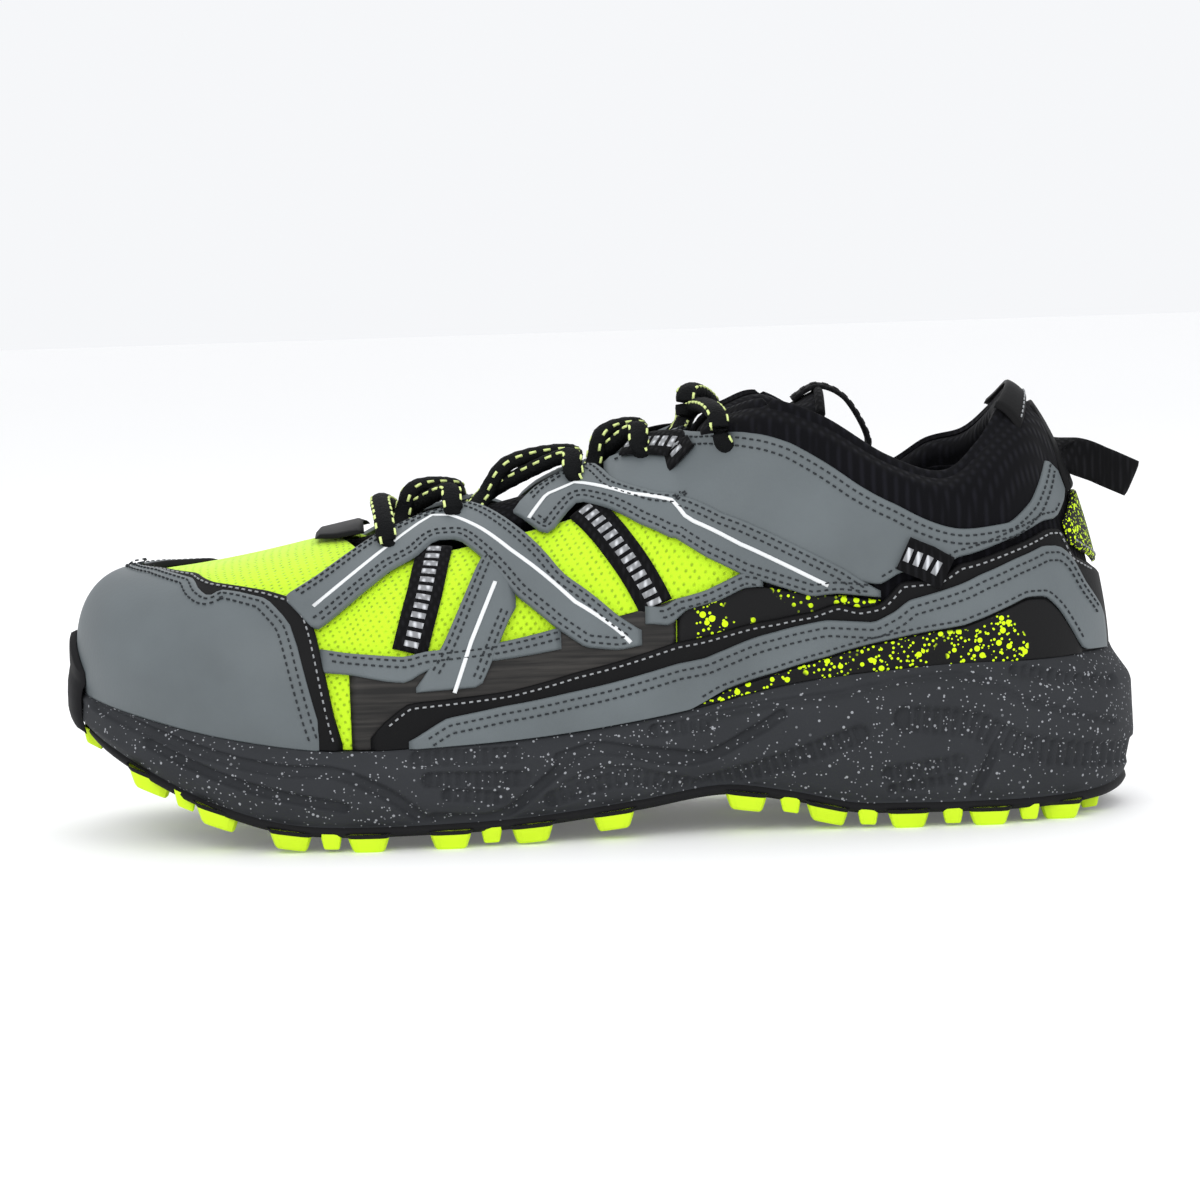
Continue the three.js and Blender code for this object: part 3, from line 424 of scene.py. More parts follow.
def resample(points, spacing):
    p = np.asarray(points, float)
    run = np.concatenate([[0], np.cumsum(np.linalg.norm(np.diff(p, axis=0), axis=1))])
    count = max(2, int(run[-1] / spacing) + 1)
    at = np.linspace(0, run[-1], count)
    return np.stack([np.interp(at, run, p[:, k]) for k in range(3)], 1)


def stitches(path, length=1.1, pitch=2.1, radius=0.27):
    """Short threads lying along a path of points."""
    line = resample(path, pitch / 4)
    used = max(2, int(round(length / pitch * 4)) + 1)
    return [strand(line[k:k + used], radius, 5) for k in range(0, len(line) - used, 4)]


# ---------------------------------------------------------------- materials
def new_material(name, roughness, gloss=0.5, sheen=0.0):
    """A material with its tree and shader; gloss is the specular level."""
    material = bpy.data.materials.new(name)
    material.use_nodes = True
    tree = material.node_tree
    shader = tree.nodes["Principled BSDF"]
    shader.inputs["Roughness"].default_value = roughness
    shader.inputs["Specular IOR Level"].default_value = gloss
    shader.inputs["Sheen Weight"].default_value = sheen
    return material, tree, shader


def shade(color, factor):
    return tuple(min(c * factor, 1) for c in color)


def place_node(tree, uv=False, scale=(1, 1, 1), turn=0.0):
    """Texture place from the object's own space or from its uv, scaled and turned."""
    coords = tree.nodes.new("ShaderNodeTexCoord")
    mapping = tree.nodes.new("ShaderNodeMapping")
    mapping.inputs["Scale"].default_value = scale
    mapping.inputs["Rotation"].default_value = (0, 0, turn)
    tree.links.new(coords.outputs["UV" if uv else "Object"], mapping.inputs[0])
    return mapping.outputs[0]


def texture(tree, kind, place, **values):
    """Outputs of a texture of a kind such as Noise, at a place, with its named inputs set."""
    made = tree.nodes.new(f"ShaderNodeTex{kind}")
    for key, value in values.items():
        made.inputs[key].default_value = value
    if place is not None:
        tree.links.new(place, made.inputs["Vector"])
    return made.outputs


def ramp(tree, source, stops):
    made = tree.nodes.new("ShaderNodeValToRGB")
    bar = made.color_ramp
    while len(bar.elements) < len(stops):
        bar.elements.new(0.5)
    for element, (place, color) in zip(bar.elements, stops):
        element.position = place
        element.color = (*color, 1)
    tree.links.new(source, made.inputs[0])
    return made.outputs[0]


def step_at(tree, source, low, high, falling=False):
    """Black below low and white above high, or the other way round."""
    ends = [(1, 1, 1), (0, 0, 0)] if falling else [(0, 0, 0), (1, 1, 1)]
    return ramp(tree, source, [(low, ends[0]), (high, ends[1])])


def combine(tree, operation, first, second):
    made = tree.nodes.new("ShaderNodeMath")
    made.operation = operation
    tree.links.new(first, made.inputs[0])
    tree.links.new(second, made.inputs[1])
    return made.outputs[0]


def mix_colors(tree, factor, first, second, blend="MIX"):
    """Blend two colours; each of the three inputs is a constant or another node's output."""
    made = tree.nodes.new("ShaderNodeMix")
    made.data_type = "RGBA"
    made.blend_type = blend
    for k, value in ((0, factor), (6, first), (7, second)):
        if isinstance(value, bpy.types.NodeSocket):
            tree.links.new(value, made.inputs[k])
        else:
            made.inputs[k].default_value = value
    return made.outputs[2]


def bump(tree, shader, source, strength, distance):
    """Add a bump over any that the shader has."""
    made = tree.nodes.new("ShaderNodeBump")
    made.inputs["Strength"].default_value = strength
    made.inputs["Distance"].default_value = distance
    tree.links.new(source, made.inputs["Height"])
    if shader.inputs["Normal"].links:
        tree.links.new(shader.inputs["Normal"].links[0].from_socket, made.inputs["Normal"])
    tree.links.new(made.outputs[0], shader.inputs["Normal"])


def color_by(tree, shader, source, stops):
    tree.links.new(ramp(tree, source, stops), shader.inputs["Base Color"])


def plain_material(name, color, roughness):
    material, tree, shader = new_material(name, roughness)
    noise = texture(tree, "Noise", None, Scale=6)
    color_by(tree, shader, noise["Fac"], [(0.3, shade(color, 0.985)), (0.7, color)])
    return material


def grained(name, color, roughness, grain=900, depth=0.00006, vary=0.12, strength=0.5, gloss=0.35):
    """Smooth synthetic, film or rubber: a fine grain, and colour that drifts a little."""
    material, tree, shader = new_material(name, roughness, gloss)
    place = place_node(tree)
    drift = texture(tree, "Noise", place, Scale=35, Detail=4)["Fac"]
    fine = texture(tree, "Voronoi", place, Scale=grain)["Distance"]
    color_by(tree, shader, drift, [(0.3, shade(color, 1 - vary)), (0.7, shade(color, 1 + vary))])
    rough = ramp(tree, drift, [(0.3, (roughness - 0.06,) * 3), (0.7, (roughness + 0.06,) * 3)])
    tree.links.new(rough, shader.inputs["Roughness"])
    bump(tree, shader, fine, strength, depth)
    return material


def perforated(name, color, hole_shade, pitch=0.0023, roughness=0.75):
    """Air mesh: a close lattice of small dark openings over a fine weave; their darkness is painted shade
    on the lime of the inner layer.
    """
    material, tree, shader = new_material(name, roughness, sheen=0.15)
    lattice = texture(tree, "Voronoi", place_node(tree, True, (1, 1.15, 1), 0.6),
                      Scale=1 / pitch, Randomness=0.18)["Distance"]
    weave = texture(tree, "Voronoi", place_node(tree, True), Scale=4.6 / pitch, Randomness=0.5)["Distance"]
    # painted shade: the openings take a darkened lime in place of the shade that falls inside them
    shaded_holes = ramp(tree, lattice, [(0.1, hole_shade), (0.24, color), (0.7, color)])
    thread = ramp(tree, weave, [(0.1, color), (0.75, shade(color, 0.86))])
    tree.links.new(mix_colors(tree, 0.45, shaded_holes, thread, "MULTIPLY"), shader.inputs["Base Color"])
    bump(tree, shader, weave, 0.4, 0.0001)
    bump(tree, shader, step_at(tree, lattice, 0.08, 0.3), 0.8, 0.0004)
    return material


def knitted(name, color, pitch=0.0011, roughness=0.95, depth=0.0003):
    """Knit or woven textile: crossed rows of yarn with a soft sheen."""
    material, tree, shader = new_material(name, roughness, 0.12, 0.03)
    scale = 1 / pitch / 6.28
    rows = [texture(tree, "Wave", place_node(tree, turn=turn), Scale=scale, Distortion=1.2, Detail=2)["Fac"]
            for turn in (0.78, -0.78)]
    yarn = combine(tree, "MULTIPLY", *rows)
    color_by(tree, shader, yarn, [(0.1, shade(color, 0.6)), (0.9, shade(color, 1.5))])
    bump(tree, shader, yarn, 0.6, depth)
    return material


def speckled(name, color, fleck, share=0.16, size=0.0021, roughness=0.8):
    """Moulded foam with light flecks of two sizes."""
    material, tree, shader = new_material(name, roughness, 0.2)
    place = place_node(tree)
    layers = []
    for k, scale in enumerate((1 / size, 2.1 / size)):
        cells = texture(tree, "Voronoi", place, Scale=scale)
        edge = share * (1 + 0.3 * k)
        dot = step_at(tree, cells["Distance"], edge, edge + 0.05, falling=True)
        pick = step_at(tree, cells["Color"], 0.56 + 0.06 * k, 0.62 + 0.06 * k)
        layers.append(combine(tree, "MULTIPLY", dot, pick))
    noise = texture(tree, "Noise", place, Scale=60, Detail=5)["Fac"]
    base = ramp(tree, noise, [(0.3, shade(color, 0.85)), (0.7, color)])
    flecked = mix_colors(tree, combine(tree, "MAXIMUM", *layers), base, (*fleck, 1))
    tree.links.new(flecked, shader.inputs["Base Color"])
    bump(tree, shader, texture(tree, "Noise", place, Scale=1800, Detail=2)["Fac"], 0.35, 0.0001)
    return material


def splattered(name, color, drop, size=0.0028, roughness=0.6, share=0.5):
    """Black with a spray of bright round drops of two sizes."""
    material, tree, shader = new_material(name, roughness, 0.2)
    place = place_node(tree)
    spread = texture(tree, "Noise", place, Scale=45, Detail=1)["Fac"]
    layers = []
    for k, scale in enumerate((1 / size, 2.2 / size)):
        cells = texture(tree, "Voronoi", place, Scale=scale, Randomness=1)
        dot = step_at(tree, cells["Distance"], 0.27, 0.31, falling=True)
        where = step_at(tree, spread, 0.98 - share, 1.04 - share + 0.02 * k)
        layers.append(combine(tree, "MULTIPLY", dot, where))
    color_by(tree, shader, combine(tree, "MAXIMUM", *layers), [(0.4, color), (0.6, drop)])
    bump(tree, shader, texture(tree, "Voronoi", place, Scale=1100)["Distance"], 0.4, 0.00006)
    return material


def brushed(name, dark, light, roughness=0.45):
    """Film with fine streaks that run along the shoe."""
    material, tree, shader = new_material(name, roughness, 0.3)
    place = place_node(tree, scale=(0.035, 0.3, 1))
    streak = texture(tree, "Noise", place, Scale=900, Detail=4)["Fac"]
    color_by(tree, shader, streak, [(0.35, dark), (0.68, light)])
    bump(tree, shader, streak, 0.25, 0.00006)
    return material


SLATE = (0.112, 0.13, 0.138)
LIME = (0.66, 0.93, 0.004)
BLACK = (0.0035, 0.0035, 0.004)
SOLE_GREY = (0.03, 0.032, 0.036)
PALE = (0.75, 0.77, 0.78)

M = {
    "slate": grained("slate_synthetic", SLATE, 0.5),
    "black": grained("black_trim", BLACK, 0.62, grain=1300, gloss=0.15),
    # its second colour is painted shade: the lime darkened in the mesh's openings
    "mesh": perforated("lime_mesh", LIME, (0.36, 0.52, 0.0), pitch=0.0019),
    "knit": knitted("black_knit", (0.005, 0.005, 0.007)),
    "lining": knitted("lining_knit", (0.014, 0.014, 0.016), 0.0015),
    "film": brushed("brushed_film", (0.006, 0.0055, 0.005), (0.034, 0.031, 0.028)),
    "sparse_splatter": splattered("film_print", BLACK, LIME, 0.0031, share=0.5),
    "splatter": splattered("splatter_print", BLACK, LIME, share=0.53),
    "dense_splatter": splattered("heel_splatter", BLACK, LIME, 0.0019, share=0.56),
    "sole": speckled("sole_foam", SOLE_GREY, (0.3, 0.31, 0.33)),
    "rubber": grained("black_rubber", (0.006, 0.006, 0.007), 0.7, grain=700, gloss=0.2),
    "lime_rubber": grained("lime_rubber", (0.62, 0.88, 0.01), 0.5, grain=600, vary=0.06),
    "webbing": knitted("black_webbing", (0.006, 0.006, 0.007), 0.0008),
    "bar": knitted("grey_bars", (0.42, 0.43, 0.45), 0.0009),
    "reflective": grained("reflective_line", PALE, 0.35, grain=1500, vary=0.05),
    "thread": grained("dark_thread", (0.02, 0.024, 0.028), 0.8, grain=2500),
    "pale_thread": grained("pale_thread", (0.3, 0.31, 0.32), 0.8, grain=2500),
    "lace": grained("lace_braid", (0.005, 0.0055, 0.006), 0.85, grain=1500, depth=0.0003, strength=0.9,
                    gloss=0.12),
    "dash": grained("lace_dash", (0.7, 0.82, 0.3), 0.7, grain=1800),
    "plastic": grained("aglet_plastic", BLACK, 0.3, grain=500),
    "cloth": knitted("insole_cloth", (0.018, 0.018, 0.02), 0.0016),
    "board": knitted("strobel_cloth", (0.55, 0.52, 0.45), 0.0013),
    "stiffener": grained("stiffener_sheet", (0.6, 0.58, 0.52), 0.5),
}


# ---------------------------------------------------------------- layers and outlines, as in the CAD source
GAP = 0.3
TEXTILE = (-1.2, 0)
OVERLAY = (0.3, 1.1)
STRAP = (1.4, 2.6)
FOXING = (2.9, 3.9)
LINING = (-4.6, -2.6)
COLLAR = (-9.9, -4.9)
TONGUE = (-10.9, -4.9)
LACE = 5.0

VAMP_TOP = [[6, 1], [7.1, 1], [7.5, 0.86], [8, 0.7], [8.3, 0.66], [11.35, 0.64], [11.6, 0.8], [11.85, 1],
            [TOE, 1]]
TOE_CAP_TOP = [[12, 0.03], [12.15, 0.2], [12.3, 0.41], [12.6, 0.53], [13, 0.58], [13.25, 0.6],
               [13.4, 0.56], [13.6, 0.61], [13.75, 0.69], [14.2, 0.75], [14.7, 0.81], [16.6, 0.96],
               [TOE, 1]]
FOXING_TOP = [[0, 0.24], [0.3, 0.26], [0.7, 0.29], [1.1, 0.33], [1.2, 0.41], [1.5, 0.43], [2.4, 0.42],
              [3, 0.41], [3.3, 0.36], [3.9, 0.33], [4.2, 0.25], [4.5, 0.23], [4.8, 0.24], [5.2, 0.21],
              [5.8, 0.19], [7.4, 0.17], [9.3, 0.16], [10, 0.14], [11.1, 0.13], [11.4, 0.07],
              [11.5, 0.03]]
PRINT_TOP = [[0.5, 0.08], [0.6, 0.16], [1, 0.25], [1.2, 0.33], [1.4, 0.37], [1.7, 0.39], [2.2, 0.38],
             [2.7, 0.36], [3.2, 0.32], [3.8, 0.27], [4, 0.23], [4.3, 0.19], [5, 0.19], [5.8, 0.16],
             [7.4, 0.12], [9.4, 0.11], [10.1, 0.1], [10.7, 0.08], [11.1, 0.02]]
PRINT_BOTTOM = [[0.5, 0.0], [1.2, 0.02], [1.4, 0.11], [1.6, 0.19], [1.8, 0.24], [2.1, 0.25], [2.5, 0.22],
                [3, 0.18], [3.5, 0.16], [4.3, 0.12], [5, 0.08], [5.8, 0.05], [7, 0.03], [7.8, 0.0],
                [11.1, 0.0]]
MUDGUARD_TOP = [[4.2, 0.26], [5.4, 0.26], [6.5, 0.28], [8.2, 0.27], [9.5, 0.29], [11.1, 0.27],
                [11.7, 0.3]]
TRIM_TOP = [[11.8, 0.0], [11.88, 0.1], [11.95, 0.22], [12.02, 0.36], [12.1, 0.45], [12.25, 0.52],
            [12.6, 0.575], [13, 0.62], [13.25, 0.645], [13.4, 0.66], [13.6, 0.7], [13.75, 0.745],
            [14.2, 0.79], [14.7, 0.84], [16.6, 0.98], [TOE, 1]]
TRIM_BOTTOM = [[11.8, 0.0], [12.15, 0.0], [12.4, 0.36], [12.7, 0.48],
               *[[s, v - 0.05] for s, v in TOE_CAP_TOP if s >= 13]]
FRONT_TOP = [[8.5, 0.22], [8.8, 0.28], [9.1, 0.36], [9.4, 0.44], [9.6, 0.54], [9.9, 0.68], [10.15, 0.8],
             [10.3, 0.86], [10.8, 0.85], [11.3, 0.78], [11.6, 0.71], [12, 0.61], [12.4, 0.53]]
FRONT_BOTTOM = [[8.5, 0.185], [8.8, 0.19], [9.2, 0.22], [9.5, 0.29], [9.9, 0.41], [10.2, 0.55],
                [10.45, 0.66], [10.7, 0.68], [10.9, 0.62], [11.2, 0.58], [11.5, 0.51], [11.9, 0.41],
                [12.05, 0.38], [12.4, 0.52]]
LEG_TOP = [[9.9, 0.45], [10.2, 0.58], [10.4, 0.46], [10.7, 0.29], [10.9, 0.21], [11, 0.17]]
LEG_BOTTOM = [[9.9, 0.38], [10, 0.33], [10.2, 0.22], [10.3, 0.16], [11, 0.16]]
WAVE_TOP = [[9.45, 0.29], [10.1, 0.28], [10.9, 0.28], [11.1, 0.27], [11.3, 0.28], [11.7, 0.3],
            [12, 0.32]]
WAVE_BOTTOM = [[9.45, 0.23], [10.2, 0.23], [10.9, 0.22], [11.1, 0.19], [11.3, 0.2], [11.7, 0.23],
               [12, 0.24]]
MID_TOP = [[4.2, 0.29], [4.7, 0.34], [5.4, 0.38], [6.1, 0.42], [6.9, 0.47], [7.6, 0.53], [8, 0.55],
           [8.3, 0.59], [8.6, 0.66], [8.8, 0.72], [9, 0.88], [9.3, 0.9], [9.6, 0.83], [9.85, 0.73]]
MID_BOTTOM = [[4.2, 0.27], [4.8, 0.265], [5.2, 0.25], [5.7, 0.27], [6.4, 0.3], [7.3, 0.36], [8.1, 0.43],
              [8.5, 0.51], [8.9, 0.62], [9.2, 0.69], [9.35, 0.64], [9.5, 0.585], [9.6, 0.6],
              [9.75, 0.67], [9.85, 0.725]]
REAR_WAVE_TOP = [[6, 0.3], [6.4, 0.31], [7.3, 0.28], [8, 0.27], [8.2, 0.26], [8.45, 0.28]]
REAR_WAVE_BOTTOM = [[6, 0.27], [6.4, 0.27], [7, 0.25], [7.8, 0.24], [8.1, 0.21], [8.45, 0.235]]
QUARTER_TOP = [[0.6, 0.54], [0.9, 0.61], [1.6, 0.53], [2.1, 0.5], [3, 0.55], [3.9, 0.61], [4.5, 0.63],
               [5.5, 0.69], [6.2, 0.71], [7.4, 0.78], [8.3, 0.87], [8.9, 0.88]]
QUARTER_BOTTOM = [[0.6, 0.5], [0.8, 0.47], [1.2, 0.44], [1.5, 0.455], [2.4, 0.445], [3, 0.435],
                  [3.3, 0.39], [3.9, 0.36], [4.2, 0.31], [4.7, 0.36], [5.4, 0.4], [6.1, 0.44],
                  [6.9, 0.49], [7.6, 0.55], [8, 0.57], [8.3, 0.61], [8.6, 0.68], [8.78, 0.74],
                  [8.9, 0.86]]
BACKSTAY_TOP = [[0, 0.8], [0.42, 0.78], [0.55, 0.46], [1.05, 0.42]]
BACKSTAY_BOTTOM = [[0, 0.27], [0.3, 0.29], [0.7, 0.32], [1.05, 0.36]]
HEEL_TAB_BOTTOM = [[0, 0.83], [0.5, 0.81], [1.2, 0.76]]
POINT_BOTTOM = [[11.45, 0.83], [11.8, 0.84], [12.05, 0.89]]
EYELETS = [(11.2, 0.7), (10.45, 0.79), (9.2, 0.8), (8.45, 0.78), (6.8, 0.68)]

SHIFT = np.zeros(3)


def sole_shift():
    """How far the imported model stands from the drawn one, read from the midsole."""
    s = np.linspace(0, TOE, 2 * TOE + 1)
    drawn = np.concatenate([foot(s, side) + outward(s, side) * through(FLARE, foot(s, side)[:, 0])[:, None]
                            for side in SIDES])
    low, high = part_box("midsole")
    middle = (np.array(low) + np.array(high)) / 2 / MM
    return np.array([*(middle[:2] - (drawn.min(0) + drawn.max(0)) / 2), 0])


# ---------------------------------------------------------------- stitching, tapes and lines on the skin
def edge_path(edge, side, offset, inset, upper=True, start=None, end=None):
    """Points on a panel that run along its edge, a given distance in from it."""
    s = np.arange(max(edge[0][0], start or 0), min(edge[-1][0], end or TOE) + 1e-6, 0.02)
    v = smooth_edge(edge, s)
    p = on_skin(s, v, side, offset)
    n = normal(s, v, side)
    t = np.gradient(p, axis=0)
    across = np.cross(n, t)
    across /= np.maximum(np.linalg.norm(across, axis=1, keepdims=True), 1e-9)
    below = on_skin(s, np.maximum(v - 0.02, 0), side, offset)
    down = below - on_skin(s, np.minimum(v + 0.02, 1), side, offset)
    sign = np.sign((across * down).sum(1))[:, None]
    return p + across * sign * inset * (1 if upper else -1)


def line_path(points, side, offset):
    """Points along a drawn line of [s, v] corners."""
    p = np.array(points, float)
    count = 40
    at = np.linspace(0, len(p) - 1, count)
    s, v = (np.interp(at, np.arange(len(p)), p[:, k]) for k in (0, 1))
    return on_skin(s, v, side, offset), normal(s, v, side)


def tape(path, normals, width, thickness, rows=5, crown=0.0):
    """A flat strip along a path: a closed slab with its width on the surface."""
    t = np.gradient(path, axis=0)
    across = np.cross(normals, t)
    across /= np.maximum(np.linalg.norm(across, axis=1, keepdims=True), 1e-9)
    w = np.linspace(-1, 1, rows)
    lift = thickness * (1 - 0.35 * np.abs(w) ** 6) + crown * (1 - w * w)
    base = path[:, None] + across[:, None] * (w * width / 2)[None, :, None]
    outer = base + normals[:, None] * lift[None, :, None]
    uv = np.stack([np.broadcast_to(np.arange(len(path))[:, None], base.shape[:2]),
                   np.broadcast_to(w * width / 2, base.shape[:2])], -1)
    points, faces, _ = slab_mesh(outer, base, uv)
    return points, flip_if_inside_out(points, faces)


def group_object(name, parts, material, body="shoe"):
    points, faces = merge(parts)
    return make_object(name, points, faces, material, body)


def finished(piece, slot, *nodes):
    """Hide the CAD nodes that a piece stands for and return the piece; the slot is not used."""
    if nodes:
        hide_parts(*nodes)
    return piece


# ---------------------------------------------------------------- textile layers
def feather_band(start, end, upper):
    return [([[start, 0.0], [end, 0.0]], upper)]


LIME_TOP = 0.64  # top of the lime mesh behind the straps, where black knit takes over


def make_textiles():
    lime_top = [[6, LIME_TOP], [8.3, LIME_TOP], *VAMP_TOP[5:]]
    vamp = panel("vamp_mesh_visual", feather_band(6, TOE, lime_top), "toe", TEXTILE, M["mesh"], rows=24)
    finished(vamp, "lime_mesh", "vamp_mesh")
    for side in SIDES:
        bands = [([[6, LIME_TOP + 0.004], [8.3, LIME_TOP + 0.004]], VAMP_TOP[:5])]
        throat = panel(f"throat_knit_{SIDES[side]}", bands, side, TEXTILE, M["knit"], rows=10)
        finished(throat, "black_mesh")
    heel = panel("heel_mesh_visual", feather_band(0, 5.98, [[0, 1], [5.98, 1]]), "heel", TEXTILE,
                 M["knit"], rows=20)
    finished(heel, "black_mesh", "heel_mesh")


TRIM_HEIGHT = 2.2  # the trim is folded double, so it stands nearly as high as the cap


def make_toe():
    cap = panel("toe_cap_visual", feather_band(12, TOE, TOE_CAP_TOP), "toe", STRAP, M["slate"], rows=26)
    finished(cap, "slate_synthetic", "toe_cap")
    trim = panel("toe_trim_visual", [(TRIM_BOTTOM, TRIM_TOP)], "toe", (OVERLAY[0], TRIM_HEIGHT),
                 M["black"], rows=8)
    finished(trim, "black_trim", "toe_trim")
    bands = [(POINT_BOTTOM, [[s, 1] for s, _ in POINT_BOTTOM])]
    for side, tag in SIDES.items():
        point = panel(f"vamp_point_{tag}", bands, side, STRAP, M["black"])
        finished(point, "black_trim", *(["vamp_point"] if side == LATERAL else []))


def make_films():
    for side, tag in SIDES.items():
        front = panel(f"film_{tag}", [([[8, 0.0], [11.74, 0.0]], MUDGUARD_TOP)], side, OVERLAY, M["film"],
                      rows=12)
        finished(front, "brushed_film", f"mudguard_film_{tag}")
        rear = panel(f"film_print_{tag}", [([[4.2, 0.0], [7.98, 0.0]], MUDGUARD_TOP)], side, OVERLAY,
                     M["sparse_splatter"],
                     rows=12)
        finished(rear, "brushed_film")


QUARTER_DROP = 0.45  # the quarter lies a little lower than the strap that covers its edge


def make_straps():
    tucked = [[s, v - 0.055 if s > 4.4 else v] for s, v in QUARTER_BOTTOM]
    strap_bands = {
        "front_strap": [(WAVE_BOTTOM, WAVE_TOP), (LEG_BOTTOM, LEG_TOP), (FRONT_BOTTOM, FRONT_TOP)],
        "mid_strap": [(REAR_WAVE_BOTTOM, REAR_WAVE_TOP), (MID_BOTTOM, MID_TOP)],
        "quarter": [(tucked, QUARTER_TOP)],
    }
    for name, bands in strap_bands.items():
        offsets = (STRAP[0] - QUARTER_DROP, STRAP[1] - QUARTER_DROP) if name == "quarter" else STRAP
        for side in SIDES:
            tag = f"{name}_{SIDES[side]}"
            strap = panel(f"{tag}_visual", bands, side, offsets, M["slate"], rows=14, lift=0.12)
            finished(strap, "slate_synthetic", tag)


SPINE_BOTTOM = 0.47  # above this the back of the heel is plain black


def make_heel():
    foxing = panel("rear_foxing_visual", feather_band(0, 11.5, FOXING_TOP), "heel", STRAP, M["black"],
                   rows=16)
    finished(foxing, "black_trim", "rear_foxing")
    split_low = [[s, v if v < SPINE_BOTTOM else SPINE_BOTTOM] for s, v in BACKSTAY_TOP]
    stay = panel("backstay_visual", [(BACKSTAY_BOTTOM, split_low)], "heel", STRAP, M["dense_splatter"],
                 rows=14)
    finished(stay, "black_trim", "backstay")
    spine_low = [[0, SPINE_BOTTOM + 0.01], [0.55, SPINE_BOTTOM + 0.01]]
    spine = panel("heel_spine", [(spine_low, BACKSTAY_TOP[:3])], "heel", STRAP, M["black"], rows=10)
    finished(spine, "black_trim")
    tab = panel("heel_tab_visual", [(HEEL_TAB_BOTTOM, [[0, 0.995], [1.2, 0.995]])], "heel", STRAP,
                M["black"])
    finished(tab, "black_trim", "heel_tab")
    for side, tag in SIDES.items():
        bands = [(PRINT_BOTTOM, PRINT_TOP)]
        skin_piece = panel(f"foxing_skin_{tag}_visual", bands, side, FOXING, M["slate"], rows=12)
        finished(skin_piece, "slate_synthetic", f"foxing_skin_{tag}")
        inset = [[s, max(v - 0.006, 0.0)] for s, v in PRINT_BOTTOM if 1.2 <= s <= 7.8]
        low = [[s, 0.0] for s, _ in inset]
        splash = panel(f"foxing_inset_{tag}", [(low, inset)], side, (FOXING[0] - 0.2, FOXING[0] + 0.5),
                       M["splatter"])
        finished(splash, "black_trim")


# ---------------------------------------------------------------- webbing tapes with grey bars
WEB_WIDTH = 9.6
BAR_PITCH = 2.8
BAR_SIZE = (3.9, 1.6)
WEBS = {
    "front_webbing": ([(10.7, 0.66), (10.85, 0.48), (11.05, 0.285)], 0.3, 0.9, "front_webbing"),
    "mid_webbing": ([(9.15, 0.66), (8.75, 0.47), (8.3, 0.27)], 0.3, 0.9, "mid_webbing"),
    "eyelet_webbing": ([(8.62, 0.87), (8.2, 0.77), (7.75, 0.665)], 2.75, 0.9, "eyelet_webbing"),
    "rear_webbing": ([(3.85, 0.43), (3.5, 0.41), (3.2, 0.375)], 2.75, 0.9, "rear_webbing"),
}


def bars_on(path, normals, height, size, pitch):
    """Raised woven bars across a tape."""
    run = np.concatenate([[0], np.cumsum(np.linalg.norm(np.diff(path, axis=0), axis=1))])
    parts = []
    at = pitch / 2
    while at < run[-1] - 1:
        here = np.linspace(at - size[1] / 2, at + size[1] / 2, 4)
        p = np.stack([np.interp(here, run, path[:, k]) for k in range(3)], 1)
        n = np.stack([np.interp(here, run, normals[:, k]) for k in range(3)], 1)
        parts.append(tape(p + n * height, n, size[0], 0.35, rows=6))
        at += pitch
    return parts


def make_webbing():
    for name, (line, offset, thick, node_name) in WEBS.items():
        for side, tag in SIDES.items():
            width = WEB_WIDTH if name != "rear_webbing" else 9.5
            path, normals = line_path(line, side, offset)
            web = tape(path, normals, width, thick, rows=9)
            base = group_object(f"{name}_{tag}_visual", [web], M["webbing"])
            finished(base, "webbing", f"{node_name}_{tag}")
            rungs = bars_on(path, normals, thick - 0.15, BAR_SIZE, BAR_PITCH)
            bars = group_object(f"{name}_{tag}_bars", rungs, M["bar"])
            finished(bars, "webbing")


# ---------------------------------------------------------------- reflective lines and stitching
LINES = [
    [(12.05, 0.47), (10.7, 0.81), (10.5, 0.78), (10.2, 0.67), (9.9, 0.55), (9.3, 0.35), (8.8, 0.24),
     (8.65, 0.2)],
    [(10.1, 0.46), (10.4, 0.29), (10.6, 0.15)],
    [(9.7, 0.66), (9.5, 0.75), (9.2, 0.77), (8.6, 0.62), (7.7, 0.47), (6.5, 0.38), (5.5, 0.32),
     (4.95, 0.285)],
]
LINE_WIDTH = 1.1
LINE_LIFT = 0.14  # above the strap
LINE_THICK = 0.25
THREAD_LIFT = 0.1

# [edge, height of the surface, insets, is it an upper edge, first station, last station]
STITCH_ROWS = [
    (TOE_CAP_TOP, 2.6, (1.8, 4.0), True, 12.0, TOE),
    (FRONT_TOP, 2.84, (1.4, 3.2), True, 8.6, 12.3),
    (FRONT_BOTTOM, 2.84, (1.4, 3.2), False, 8.7, 12.0),
    (LEG_TOP, 2.72, (1.3, 3.0), True, 10.2, 10.9),
    (LEG_BOTTOM, 2.72, (1.3, 3.0), False, 9.95, 10.4),
    (WAVE_TOP, 2.6, (1.3, 3.1), True, 9.5, 11.9),
    (MID_TOP, 2.72, (1.4, 3.2), True, 4.4, 9.75),
    (MID_BOTTOM, 2.72, (1.4, 3.2), False, 4.4, 9.75),
    (REAR_WAVE_TOP, 2.6, (1.3, 3.1), True, 6.1, 8.3),
    (QUARTER_TOP, 2.15, (2.0, 4.2), True, 0.9, 8.8),
    (QUARTER_BOTTOM, 2.15, (1.8,), False, 1.0, 4.3),
    (PRINT_TOP, 3.9, (2.0, 4.2), True, 0.7, 11.0),
    (PRINT_BOTTOM, 3.9, (1.5,), False, 1.3, 7.5),
]
PALE_ROWS = [
    (FOXING_TOP, 2.6, (1.5,), True, 0.6, 11.4),
    (TRIM_TOP, 2.2, (1.9,), True, 11.82, TOE),
    (HEEL_TAB_BOTTOM, 2.6, (1.5,), False, 0.0, 1.1),
    (BACKSTAY_BOTTOM, 2.6, (1.5,), False, 0.05, 1.0),
]


